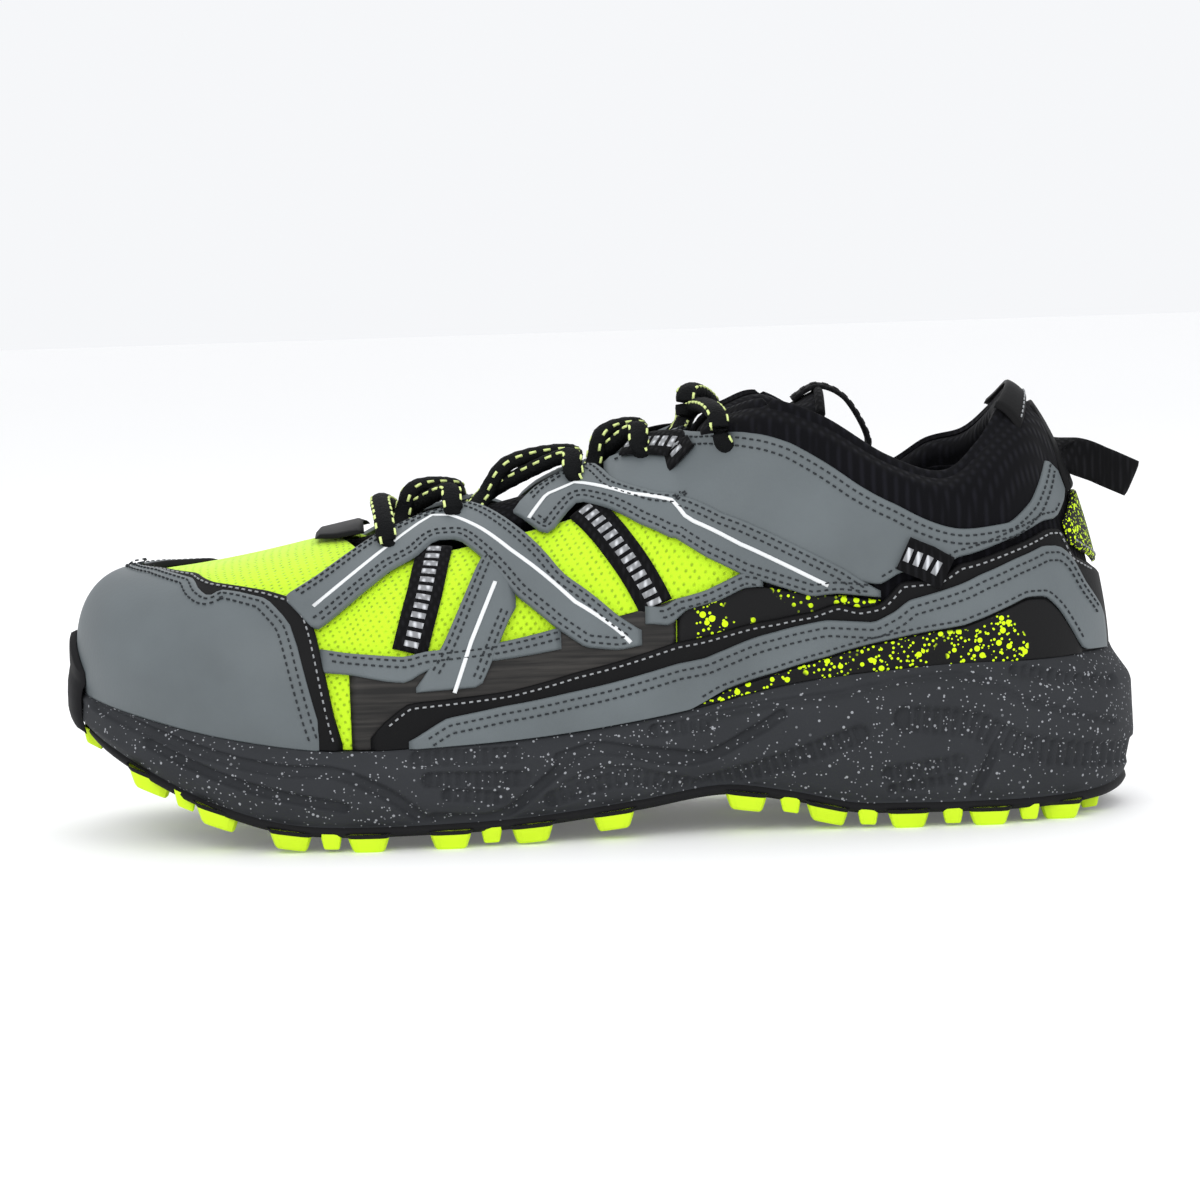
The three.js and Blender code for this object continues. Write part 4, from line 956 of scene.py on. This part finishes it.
def make_lines():
    for side in SIDES:
        parts = []
        for line in LINES:
            path, normals = line_path(line, side, STRAP[1] + LINE_LIFT)
            parts.append(tape(path, normals, LINE_WIDTH, LINE_THICK, rows=4))
        finished(group_object(f"reflective_lines_{SIDES[side]}", parts, M["reflective"]), "slate_synthetic")


def make_stitching():
    for name, rows, thread in (("seams", STITCH_ROWS, "thread"), ("pale_seams", PALE_ROWS, "pale_thread")):
        for side in SIDES:
            parts = []
            for edge, height, insets, upper, start, end in rows:
                for inset in insets:
                    path = edge_path(edge, side, height + THREAD_LIFT, inset, upper, start, end)
                    parts += stitches(path)
            finished(group_object(f"{name}_{SIDES[side]}", parts, M[thread]), "black_trim")


# ---------------------------------------------------------------- midsole with its sculpted sidewall
WALL_ROWS = 46
GROOVE_DEPTH = 1.7
RIB_PITCH = 2.6
# centre lines of the recesses in the sidewall, [x, z] in mm, with half width and whether ribs show inside
GROOVES = [
    ([(-140, 37.7), (-109, 27.6), (-88, 22.9), (-72, 21.8), (-58, 15.6), (-49, 8.5)], 1.5, False),
    ([(-124, 29.2), (-97, 18.6), (-70, 12.6)], 1.3, False),
    ([(-50, 25), (-23, 24.8)], 1.9, True),
    ([(-47, 19.3), (-22, 18.5)], 1.9, True),
    ([(-42, 15.1), (-28, 13.5)], 1.7, True),
    ([(-46, 8.9), (-29, 8.4), (-17, 16.6), (-5, 25.3), (8, 24.4), (27, 21.5)], 1.3, False),
    ([(-14, 12.5), (6, 17), (27, 12.9)], 2.2, True),
    ([(14, 29.3), (27, 30.1)], 1.6, True),
    ([(-12, 23.4), (0, 25.2), (24, 21.1), (41, 28.1), (48, 32.2)], 1.4, False),
    ([(14, 29.5), (41, 34.5), (63, 37.1), (95, 41.4), (116, 33.2), (140, 25)], 0.8, False),
    ([(112, 41.9), (127, 38.2), (140, 35.7)], 1.5, True),
    ([(82, 30), (100, 27.8), (116, 20.4), (146, 15.1)], 3.4, True),
    ([(77, 15.2), (96, 17.8)], 2.0, True),
    ([(78, 10.9), (95, 13.5)], 1.5, True),
    ([(26, 13.6), (48, 19.3), (69, 26.1)], 2.4, True),
    ([(100, 9.1), (106, 21.7)], 1.2, False),
    ([(-11, 15.9), (1, 19.8), (20, 15.9)], 0.9, False),
]


def distance_to_line(x, z, line):
    """Distance from points to an [x, z] line, and how far along it the nearest point is."""
    best = np.full(x.shape, 1e9)
    along = np.zeros(x.shape)
    run = 0.0
    for (x0, z0), (x1, z1) in zip(line, line[1:]):
        length = math.hypot(x1 - x0, z1 - z0)
        t = np.clip(((x - x0) * (x1 - x0) + (z - z0) * (z1 - z0)) / length ** 2, 0, 1)
        d = np.hypot(x - x0 - t * (x1 - x0), z - z0 - t * (z1 - z0))
        near = d < best
        best = np.where(near, d, best)
        along = np.where(near, run + t * length, along)
        run += length
    return best, along


def smooth_line(line):
    """An [x, z] line with its corners rounded by a Catmull-Rom curve."""
    if len(line) < 3:
        return line
    p = np.array([line[0], *line, line[-1]], float)
    out = [tuple(catmull(p[k:k + 4], np.array(t))) for k in range(len(p) - 3) for t in (0, 0.25, 0.5, 0.75)]
    return [*out, tuple(p[-1])]


def groove_depth(x, z):
    depth = np.zeros(x.shape)
    for line, half, ribbed in GROOVES:
        d, along = distance_to_line(x, z, smooth_line(line))
        edge = np.clip((half + 0.5 - d) / 0.9, 0, 1)
        here = edge * edge * (3 - 2 * edge) * GROOVE_DEPTH * (1.0 if half > 1 else 0.6)
        if ribbed:
            here = here * (0.72 + 0.28 * np.cos(along / RIB_PITCH * 2 * math.pi))
        depth = np.maximum(depth, here)
    return depth


def around(step, start=0.0):
    """Stations and sides of a closed walk round the outline, from the heel by the lateral side."""
    count = int(round((TOE - start) / step)) + 1
    s = np.linspace(start, TOE, count)
    return np.concatenate([s, s[-2:0:-1]]), np.array([LATERAL] * count + [MEDIAL] * (count - 2))


def outline_ring(s, side, outset, height):
    """Points of the sole's outline pushed out by outset, at a height given for each point's x."""
    xy = sided(foot, s, side) + sided(outward, s, side) * np.asarray(outset, float)[:, None]
    return np.concatenate([xy, np.asarray(height, float)[:, None]], 1)


def wall_outset(t, flare):
    """How far the sidewall stands out at a share t of its height."""
    shares = np.array([0, 0.06, 0.3, 0.75, 0.93, 1.0])
    steps = np.stack([flare - 3.4, flare - 1.9, flare, flare - 0.5, flare * 0 + 4.0, flare * 0 + 2.6])
    fine = [np.interp(np.clip(t + k * 0.035, 0, 1), shares, np.arange(6)) for k in (-1, 0, 1)]
    rows = []
    for at in fine:
        k = min(int(at), 4)
        rows.append(steps[k] + (steps[k + 1] - steps[k]) * (at - k))
    return sum(rows) / 3


def closed_loft(rings):
    """Faces through rings of points, each ring closed round; the two end rings are left open."""
    count = len(rings[0])
    points = np.concatenate(rings)
    faces = []
    for k in range(len(rings) - 1):
        for m in range(count):
            n = (m + 1) % count
            faces.append((k * count + m, k * count + n, (k + 1) * count + n, (k + 1) * count + m))
    return points, faces


def cap_strip(base, count, turn):
    """Faces that close a ring whose two sides mirror each other, joined side to side."""
    faces = []
    half = count // 2
    for m in range(half):
        a, b = base + m, base + m + 1
        c, d = base + (count - m - 1) % count, base + (count - m) % count
        face = tuple(dict.fromkeys((a, b, c, d)))
        if len(face) > 2:
            faces.append(face[::-1] if turn else face)
    return faces


def sole_solid(rings):
    points, faces = closed_loft(rings)
    count = len(rings[0])
    faces += cap_strip(0, count, False) + cap_strip((len(rings) - 1) * count, count, True)
    return points, flip_if_inside_out(points, faces)


def make_midsole():
    s, side = around(0.03)
    x = sided(foot, s, side)[:, 0]
    flare, bottom, top = through(FLARE, x), through(SOLE, x), through(FEATHER, x) - GAP
    rings = []
    for t in np.linspace(0, 1, WALL_ROWS):
        z = bottom + t * (top - bottom)
        out = wall_outset(t, flare)
        p = outline_ring(s, side, out, z)
        rim = np.clip(min(t, 1 - t) / 0.08, 0, 1)
        rings.append(outline_ring(s, side, out - groove_depth(p[:, 0], z) * rim, z))
    rings.append(outline_ring(s, side, x * 0 - 5, top))
    rings.append(outline_ring(s, side, x * 0 - 5.5, top - 7.4))
    points, faces = sole_solid(rings)
    finished(make_object("midsole_visual", points, faces, M["sole"]), "sole_foam", "midsole")


# ---------------------------------------------------------------- outsole, lugs and toe bumper
LUG_ROWS = [-124, -105, -85, -64, -42, -20, 2, 38, 60, 82, 104, 124]
LUG_EDGE = 6
LUG_PITCH = 38
LUG_RADIUS = 6.6
OUTSOLE_DEPTH = 2.9
LUG_HEIGHT = 4
LUG_SIDES = 24
LUG_SQUARE = 5  # power of the curve that rounds its corners
LUG_LONG, LUG_WIDE = 0.851, 0.666  # shares of its radius along and across
LUG_LEVELS = [(0, 1.04), (0.45, 0.93), (0.88, 0.79), (1, 0.7), (1, 0.45), (0.93, 0.3)]  # depth, size
LUG_BASE = (1.1, 0.9)  # size of the rubber base as a share of the lug's, and its height
STUD_RADIUS = 3.3
STUD_HEIGHT = 3
STUD_EDGE = 4.5
STUDS = [(-142, 0.35), (-114, 0.9), (-74, 0.9), (-31, 0.9), (50, 0.9), (71, 0.9), (94, 0.9), (115, 0.9),
         (133, 0.8)]


def outline_y(x, side):
    s = np.linspace(0, TOE, 400)
    p = foot(s, side)
    order = np.argsort(p[:, 0])
    return float(np.interp(x, p[order, 0], p[order, 1]))


def lug_places():
    places = []
    for x in LUG_ROWS:
        edge = float(through(FLARE, np.array([x]))[0]) - LUG_EDGE
        y0, y1 = outline_y(x, LATERAL) - edge, outline_y(x, MEDIAL) + edge
        count = max(2, round((y1 - y0) / LUG_PITCH) + 1)
        places += [(x, y0 + (y1 - y0) * k / (count - 1), k % 2, LUG_RADIUS) for k in range(count)]
    return places


def stud_places():
    """Small studs between the big lugs, near both edges."""
    places = []
    for x, share in STUDS:
        edge = (float(through(FLARE, np.array([x]))[0]) - STUD_EDGE) * share
        for side in SIDES:
            places.append((x, outline_y(x, side) + side * edge, 0, STUD_RADIUS, STUD_HEIGHT))
    return places


def lug_mesh(x, y, turned, radius, height=LUG_HEIGHT):
    """A tapered block with rounded corners whose tip is dished."""
    here, ahead = (float(v) for v in through(SOLE, np.array([x, x + 1.0])))
    slope = ahead - here
    root = here - OUTSOLE_DEPTH + 1.2
    tip = max(here - OUTSOLE_DEPTH - height, 0)
    angle = np.arange(LUG_SIDES) / LUG_SIDES * 2 * math.pi + (0 if turned else math.pi / 4)
    across = np.abs(np.cos(angle)) ** LUG_SQUARE + np.abs(np.sin(angle)) ** LUG_SQUARE
    square = across ** (-1 / LUG_SQUARE) * radius
    shape = np.stack([np.cos(angle) * square * LUG_LONG, np.sin(angle) * square * LUG_WIDE], 1)
    rings = []
    for share, size in LUG_LEVELS:
        p = shape * size
        z = root + (tip - root) * share + slope * p[:, 0]
        rings.append(np.concatenate([p + (x, y), np.maximum(z, 0)[:, None]], 1))
    points, faces = closed_loft(rings)
    last = len(points) - LUG_SIDES
    faces += [tuple(range(LUG_SIDES))[::-1], tuple(last + k for k in range(LUG_SIDES))]
    return points, flip_if_inside_out(points, faces)


def make_outsole():
    s, side = around(0.06)
    x = sided(foot, s, side)[:, 0]
    flare, top = through(FLARE, x), through(SOLE, x)
    profile = [(-3.6, 0.05), (-2.6, -0.5), (-2.4, -1.5), (-3.0, -2.5), (-4.4, -OUTSOLE_DEPTH)]
    rings = [outline_ring(s, side, flare + out, top + dz) for out, dz in profile]
    points, faces = sole_solid(rings)
    finished(make_object("outsole_visual", points, faces, M["rubber"]), "black_rubber", "outsole")
    lugs = [lug_mesh(*place) for place in lug_places()]
    studs = [lug_mesh(*place) for place in stud_places()]
    points, faces = merge(lugs + studs)
    finished(make_object("lugs_visual", points, faces, M["lime_rubber"], smooth=False), "lime_rubber",
             "lug_plate")
    size, height = LUG_BASE
    points, faces = merge([lug_mesh(x, y, turned, radius * size, height)
                           for x, y, turned, radius in lug_places()])
    finished(make_object("lug_bases", points, faces, M["rubber"], smooth=False), "black_rubber")


BUMPER_START = 15.9
BUMPER_THICK = 1.9
BUMPER_TOP = 0.3  # how far up the toe cap it reaches, in v


def make_bumper():
    """Rubber that climbs from the outsole over the midsole's end and the front of the toe cap."""
    s, side = path_of(BUMPER_START, TOE, "toe", 0.03)
    run = np.minimum(np.arange(len(s)), len(s) - 1 - np.arange(len(s))) / 10
    x = sided(foot, s, side)[:, 0]
    low, feather = through(SOLE, x) - 1, through(FEATHER, x)
    tall = BUMPER_TOP * (0.25 + 0.75 * np.sin(np.clip(run / 5.6, 0, 1) * math.pi / 2))
    outer, inner = [], []
    for t in np.linspace(0, 1, 24):
        fade = np.clip(np.minimum(np.minimum(t, 1 - t) * 12, run), 0, 1)
        thick = BUMPER_THICK * (0.15 + 0.85 * np.sqrt(1 - (1 - fade) ** 2))
        if t < 0.4:
            z = low + (feather - 1 - low) * t / 0.4
            out = through(FLARE, x) * (0.75 + 0.25 * min(t / 0.2, 1)) + 0.1
            inner.append(outline_ring(s, side, out, z))
            outer.append(outline_ring(s, side, out + thick, z))
            continue
        v = tall * (t - 0.4) / 0.6 + 0.02
        reach = 2.7 + 1.3 * max(0, 0.6 - t) / 0.2
        inner.append(sided(on_skin, s, side, v, 0 * v + reach))
        outer.append(sided(on_skin, s, side, v, reach + thick))
    outer, inner = np.stack(outer, 1), np.stack(inner, 1)
    points, faces, _ = slab_mesh(outer, inner, np.zeros(outer.shape[:2] + (2,)))
    piece = make_object("toe_bumper_visual", points, flip_if_inside_out(points, faces), M["rubber"])
    finished(piece, "black_rubber", "toe_bumper")


# ---------------------------------------------------------------- lining, insole, collar and tongue
LINING_TOP = [[0, 1], *VAMP_TOP[1:]]


def make_lining():
    piece = panel("lining_visual", feather_band(0, TOE, LINING_TOP), "toe", LINING, M["lining"], rows=20)
    finished(piece, "knit_lining", "lining")


def make_insole():
    s, side = around(0.06)
    x = sided(foot, s, side)[:, 0]
    top = through(FEATHER, x) - 0.6
    profile = [(-7.6, -4.8), (-6.6, -4.0), (-6.6, -0.9), (-7.2, -0.3), (-8.6, 0)]
    rings = [outline_ring(s, side, x * 0 + out, top + dz) for out, dz in profile]
    points, faces = sole_solid(rings)
    finished(make_object("insole_visual", points, faces, M["cloth"]), "insole_cloth", "insole")


COLLAR_END = 7.35
COLLAR_ROLL = 4.9  # radius of the padded roll round the ankle
COLLAR_STEPS = 5  # points between the guide points of its section


def collar_guides(s, side):
    """Guide points of the collar's section at each station, from outside over the top to inside."""
    foot_v = np.maximum(np.interp(s, *np.array(QUARTER_TOP).T) - 0.06, 0.44)
    one = np.ones_like(s)
    n = sided(normal, s, side, 0.85 * one)
    high, low = sided(on_skin, s, side, 0.99 * one, 0 * one), sided(on_skin, s, side, 0.85 * one, 0 * one)
    up = (high - low) / np.linalg.norm(high - low, axis=1, keepdims=True)
    n = n - up * (n * up).sum(1, keepdims=True)
    n /= np.linalg.norm(n, axis=1, keepdims=True)
    top = sided(on_skin, s, side, one, 0 * one)
    centre = top - up * COLLAR_ROLL - n * (COLLAR_ROLL - 0.6)

    def place(v, offset):
        return sided(on_skin, s, side, v * one, offset * one)

    limit = 0.80
    guides = [place(foot_v, 0.3), place(foot_v + (limit - foot_v) * 0.35, 1.9),
              place(foot_v + (limit - foot_v) * 0.75, 2.5)]
    for angle in (5, 50, 90, 130, 175):
        a = math.radians(angle)
        guides.append(centre + (n * math.cos(a) + up * math.sin(a)) * COLLAR_ROLL)
    return guides + [place(0.76, -10.2), place(0.66, -9.6), place(0.6, -7.4), place(0.58, -5.2)]


def make_collar():
    s, side = path_of(0, COLLAR_END, "heel", 0.06)
    guides = collar_guides(s, side)
    guides = [guides[0], *guides, guides[-1]]
    shares = np.arange(COLLAR_STEPS) / COLLAR_STEPS
    section = []
    for k in range(len(guides) - 3):
        section += [catmull(guides[k:k + 4], np.full((len(s), 1), t)) for t in shares]
    section.append(guides[-1])
    section = np.stack(section, 1)
    count = section.shape[1]
    points = section.reshape(-1, 3)
    faces = []
    for i in range(len(s) - 1):
        for j in range(count):
            n = (j + 1) % count
            faces.append((i * count + j, (i + 1) * count + j, (i + 1) * count + n, i * count + n))
    faces += [tuple(range(count)), tuple((len(s) - 1) * count + j for j in range(count))[::-1]]
    piece = make_object("collar_visual", points, flip_if_inside_out(points, faces), M["knit"])
    finished(piece, "black_mesh", "collar_pad")


TONGUE_SECTIONS = [[30, 95.5, 11.5], [40, 100, 15], [52, 105.5, 18.5],
                   [61, 110, 17]]  # x, underside, half width
TONGUE_START = 11.9
TONGUE_CROWN = 3
TONGUE_THICK = 6
TONGUE_ACROSS = 25
TONGUE_PAD = 2.0  # how far the padding stands above its edges


def skin_section(s):
    """Top and underside of the tongue under the laces at a station of the skin."""
    w = np.linspace(-1, 1, TONGUE_ACROSS)
    edge_v = 0.74 + 0.06 * (s - 8.3) / 3.7
    rows = []
    for offset, pad in ((TONGUE[1], TONGUE_PAD), (TONGUE[0], 0)):
        row = []
        for t in w:
            v = np.array([edge_v + (1 - edge_v) * (1 - abs(t)) ** 0.8])
            height = offset + pad * (1 - abs(t) ** 3) if pad else offset + 2.2 * abs(t) ** 3
            side = LATERAL if t < 0 else MEDIAL
            row.append(on_skin(np.array([s]), v, side, np.array([height]))[0])
        if TONGUE_ACROSS % 2:
            mid = TONGUE_ACROSS // 2
            row[mid] = (row[mid - 1] + row[mid + 1]) / 2 + np.array([0, 0, 0.15])
        rows.append(np.array(row))
    return rows


def free_section(x, z, half):
    """Top and underside of the tongue behind the laces, where it stands free."""
    w = np.linspace(-1, 1, TONGUE_ACROSS)
    crown = TONGUE_CROWN * (1 - w * w) - TONGUE_CROWN
    low = np.stack([x + 0 * w, w * half, z + crown + 1.8 * np.abs(w) ** 4], 1)
    rise = TONGUE_THICK - 2.2 * np.abs(w) ** 4 + 0.9 * (1 - w ** 4)
    high = np.stack([x + 0 * w, w * half, z + crown + rise], 1)
    return [high, low]


def make_tongue():
    guides = [skin_section(s) for s in np.linspace(TONGUE_START, 8.75, 9)]
    guides += [free_section(*row) for row in TONGUE_SECTIONS]
    tip_x, tip_z, tip_half = TONGUE_SECTIONS[-1]
    for ahead, shrink in ((1.6, 0.75), (2.3, 0.35)):
        high, low = free_section(tip_x + ahead, tip_z + ahead * 0.5, tip_half * (0.93 + 0.07 * shrink))
        middle = (high + low) / 2
        guides.append([middle + (high - middle) * shrink, middle + (low - middle) * shrink])
    guides = np.array(guides)
    guides = np.concatenate([guides[:1], guides, guides[-1:]])
    rows = []
    for k in range(len(guides) - 3):
        rows += [catmull(guides[k:k + 4], np.array(t)) for t in np.arange(8) / 8]
    rows.append(guides[-1])
    rows = np.array(rows)
    points, faces, _ = slab_mesh(rows[:, 0], rows[:, 1], np.zeros((len(rows), TONGUE_ACROSS, 2)))
    piece = make_object("tongue_visual", points, flip_if_inside_out(points, faces), M["knit"], body=None)
    finished(piece, "black_mesh", "tongue_base", "tongue_top")
    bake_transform(piece)
    rim = np.array([free_section(tip_x + 1.2, tip_z + 0.6, tip_half)[0][k] for k in range(TONGUE_ACROSS)])
    edge = group_object("tongue_binding", [strand(resample(rim, 1.5), 1.3, 10)], M["webbing"], "tongue_top")
    finished(edge, "webbing")


# ---------------------------------------------------------------- pull loops
TONGUE_TAPE = (11, 1.4)  # width, thickness
TONGUE_BARS = ((7.5, 1.4), 2.8)  # size, pitch
HEEL_TAPE = (10.4, 1.1)
TONGUE_LOOP = [[55, 114.8], [62, 118.5], [70, 114.5], [76, 103], [72, 99.5], [62.5, 107.2]]
HEEL_LOOP = [  # x, y, z, turn of the tape's face in degrees: 0 faces up, 90 faces sideways
    [121, 0.0, 101.5, 25], [125.5, -0.5, 100, 15], [129, -1.2, 98.6, 30], [132.5, -1.8, 97.0, 62],
    [137, -2.2, 95.4, 85], [142, -1.9, 93.0, 90], [146.5, -1.1, 90.9, 90], [148.4, 0.0, 90.0, 90],
    [146.5, 1.1, 90.9, 90], [142, 1.9, 93.0, 90], [137, 2.2, 95.0, 95], [132.5, 1.8, 96.2, 118],
    [129, 1.2, 96.6, 150], [126, 0.6, 96.4, 165]]


def smooth_rows(rows, per):
    p = np.array([rows[0], *rows, rows[-1]], float)
    out = [catmull(p[k:k + 4], np.array(t)) for k in range(len(p) - 3) for t in np.arange(per) / per]
    return np.array([*out, p[-1]])


def make_tongue_loop():
    path = smooth_rows([[x, 0, z] for x, z in TONGUE_LOOP], 8)
    t = np.gradient(path, axis=0)
    n = np.cross([0, 1.0, 0], t)
    n /= np.linalg.norm(n, axis=1, keepdims=True)
    n *= np.sign((n * (path - path.mean(0))).sum()) or 1
    inner = path - n * TONGUE_TAPE[1] / 2
    base = group_object("tongue_loop_visual", [tape(inner, n, *TONGUE_TAPE, rows=9)], M["webbing"],
                        "tongue_loop")
    finished(base, "webbing", "tongue_loop")
    rungs = bars_on(inner, n, TONGUE_TAPE[1] - 0.15, *TONGUE_BARS)
    bars = group_object("tongue_loop_bars", rungs, M["webbing"], "tongue_loop")
    finished(bars, "webbing")


def make_heel_loop():
    rows = smooth_rows(HEEL_LOOP, 8)
    path, turn = rows[:, :3], np.radians(rows[:, 3])
    t = np.gradient(path, axis=0)
    t /= np.linalg.norm(t, axis=1, keepdims=True)
    flat = np.stack([0 * turn, -np.sin(turn), np.cos(turn)], 1)
    n = flat - t * (flat * t).sum(1, keepdims=True)
    half = len(rows) // 2
    n[half - 10:half + 11] = np.cross(t[half - 10:half + 11], [0.45, 0, 1.0])
    n /= np.linalg.norm(n, axis=1, keepdims=True)
    turnings = (n[1:] * n[:-1]).sum(1)
    flips = np.concatenate([[1], np.cumprod(np.where(turnings < 0, -1, 1))])
    n = n * flips[:, None]
    piece = group_object("heel_loop_visual", [tape(path, n, *HEEL_TAPE, rows=9)], M["webbing"], "heel_loop")
    finished(piece, "webbing", "heel_loop")


# ---------------------------------------------------------------- lace
LACE_OVER = STRAP[1] + LACE / 2 + 0.1
LACE_UNDER = STRAP[0] - GAP - LACE / 2 - 0.4
LACE_LOW = LACE / 2 - 0.3
LACE_HIGH = LACE_LOW + LACE * 0.9
LACE_END = [[6.6, 0.56, -9.5], [6.5, 0.42, -11], [6.3, 0.26, -12], [6, 0.14, -13]]
LACE_REST_X = [62, 74]
LACE_REST_Y = 14
LACE_RADIUS = 2.75
LACE_FLAT = 0.78  # height of its section as a share of the width
LACE_SIDES = 14
LACE_BRAID = 0.042  # share by which the braid's ribs stand out
DASH_EVERY = 4  # mm between the coloured dashes of a row
AGLET_LENGTH = 22
AGLET_SHAPE = [(-1.5, 2.3), (0.4, 2.2), (1.2, 1.9), (18, 1.85), (AGLET_LENGTH - 1, 1.7),
               (AGLET_LENGTH + 0.7, 1.2)]
AGLET_SIDES = 16


def at_skin(side, s, v, offset):
    return on_skin(np.array([s]), np.array([v]), side, np.array([offset]))[0]


def throat_middle(s, offset):
    return (at_skin(LATERAL, s, 1, offset) + at_skin(MEDIAL, s, 1, offset)) / 2


def lace_half(start_side, heights):
    points = []
    for k, (s, v) in enumerate(EYELETS):
        side = -start_side if k % 2 else start_side
        points.append(at_skin(side, s, min(v + 0.11, 0.97), LACE_OVER + 0.4))
        points.append(at_skin(side, s, v + 0.03, LACE_OVER - 0.6))
        points.append(at_skin(side, s, v, (STRAP[0] + STRAP[1]) / 2))
        if k == len(EYELETS) - 1:
            points.append(at_skin(side, s, v, LINING[0] - 1))
            points += [at_skin(side, *row) for row in LACE_END]
            for x in LACE_REST_X:
                top = float(through(FEATHER, np.array([float(x)]))[0]) - 0.6
                points.append(np.array([x, side * LACE_REST_Y, top + LACE / 2 + 0.5]))
            continue
        ahead = EYELETS[k + 1][0]
        points.append(at_skin(side, s - 0.06, v + 0.04, LACE_UNDER))
        points.append(at_skin(side, s + (ahead - s) * 0.25, 0.96, LACE_UNDER + 1.6))
        points.append(throat_middle(s + (ahead - s) * 0.5, heights[k]))
    return points


def lace_route():
    def order(high):
        return [LACE_HIGH if (k % 2 == 0) == high else LACE_LOW for k in range(len(EYELETS))]
    bar = throat_middle(EYELETS[0][0], LACE_OVER + 0.6)
    return np.array([*lace_half(LATERAL, order(True))[::-1], bar, *lace_half(MEDIAL, order(False))])


def centripetal(points, per):
    """Points on the centripetal Catmull-Rom curve through the given ones."""
    p = np.array([2 * points[0] - points[1], *points, 2 * points[-1] - points[-2]])
    out = []
    for k in range(len(p) - 3):
        a, b, c, d = p[k:k + 4]
        gaps = [max(np.linalg.norm(u - v) ** 0.5, 1e-4) for u, v in ((b, a), (c, b), (d, c))]
        m1 = ((b - a) / gaps[0] - (c - a) / (gaps[0] + gaps[1]) + (c - b) / gaps[1]) * gaps[1]
        m2 = ((c - b) / gaps[1] - (d - b) / (gaps[1] + gaps[2]) + (d - c) / gaps[2]) * gaps[1]
        for t in np.arange(per) / per:
            out.append(b + m1 * t + (3 * (c - b) - 2 * m1 - m2) * t ** 2 + (2 * (b - c) + m1 + m2) * t ** 3)
    return np.array([*out, p[-2]])


def lace_body(line):
    """Points and faces of the lace with its braid's ribs."""
    points, faces = strand(line, LACE_RADIUS, LACE_SIDES, LACE_FLAT)
    angle = np.tile(np.arange(LACE_SIDES), len(line)) / LACE_SIDES * 2 * math.pi
    run = np.repeat(np.arange(len(line)), LACE_SIDES)
    ribs = 1 + LACE_BRAID * np.cos(angle * 4 + run * 1.7)
    centre = np.repeat(line, LACE_SIDES, axis=0)
    return centre + (points - centre) * ribs[:, None], faces


def lace_dashes(line):
    """Short coloured threads in two rows along the lace."""
    dashes = []
    for row, turn in enumerate((0.15 * math.pi, 0.85 * math.pi)):
        for k in range(4, len(line) - 4, DASH_EVERY):
            part = line[k + row * 2:k + row * 2 + 3]
            if len(part) < 3:
                continue
            t = part[-1] - part[0]
            t /= np.linalg.norm(t)
            x = np.cross(t, [0, 0, 1.0])
            x = x / np.linalg.norm(x) if np.linalg.norm(x) > 0.2 else np.cross(t, [0, 1.0, 0.01])
            out = (x * math.cos(turn) + np.cross(x, t) * math.sin(turn) * LACE_FLAT) * LACE_RADIUS
            dashes.append(strand(part + out * 0.97, 0.42, 6))
    return dashes


def make_aglet(side, end, before):
    """The hard tip on one end of the lace."""
    away = (end - before) / np.linalg.norm(end - before)
    rings = []
    for distance, radius in AGLET_SHAPE:
        centre = end + away * distance
        ring, _ = strand(np.array([centre, centre + away * 0.1]), radius, AGLET_SIDES)
        rings.append(ring[:AGLET_SIDES])
    points, faces = closed_loft(rings)
    last = len(points) - AGLET_SIDES
    faces += [tuple(range(AGLET_SIDES))[::-1], tuple(last + k for k in range(AGLET_SIDES))]
    tag = f"aglet_{SIDES[side]}"
    tip = make_object(f"{tag}_visual", points, flip_if_inside_out(points, faces), M["plastic"])
    return finished(tip, "aglet_plastic", tag)


def make_lace():
    line = resample(centripetal(lace_route(), 16), 1.0)
    lace = make_object("shoelace_visual", *lace_body(line), M["lace"])
    finished(lace, "lace_cord", "shoelace")
    finished(group_object("shoelace_dashes", lace_dashes(line), M["dash"]), "lace_cord")
    tips = [make_aglet(LATERAL, line[0], line[2]), make_aglet(MEDIAL, line[-1], line[-3])]


# ---------------------------------------------------------------- assembly
HIDDEN = {"strobel_board": "board", "heel_counter": "stiffener", "toe_puff": "stiffener"}


def paint_hidden_nodes():
    """Give the carried-over CAD nodes inside the shoe procedural materials."""
    for node_name, key in HIDDEN.items():
        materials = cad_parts[node_name].data.materials
        materials.clear()
        materials.append(M[key])


SHIFT = sole_shift()
for make in (make_camera, make_studio, make_textiles, make_toe, make_films, make_straps, make_heel,
             make_webbing,
             make_lines, make_stitching, make_midsole, make_outsole, make_bumper, make_lining, make_insole,
             make_collar, make_tongue, make_tongue_loop, make_heel_loop, make_lace, paint_hidden_nodes):
    make()
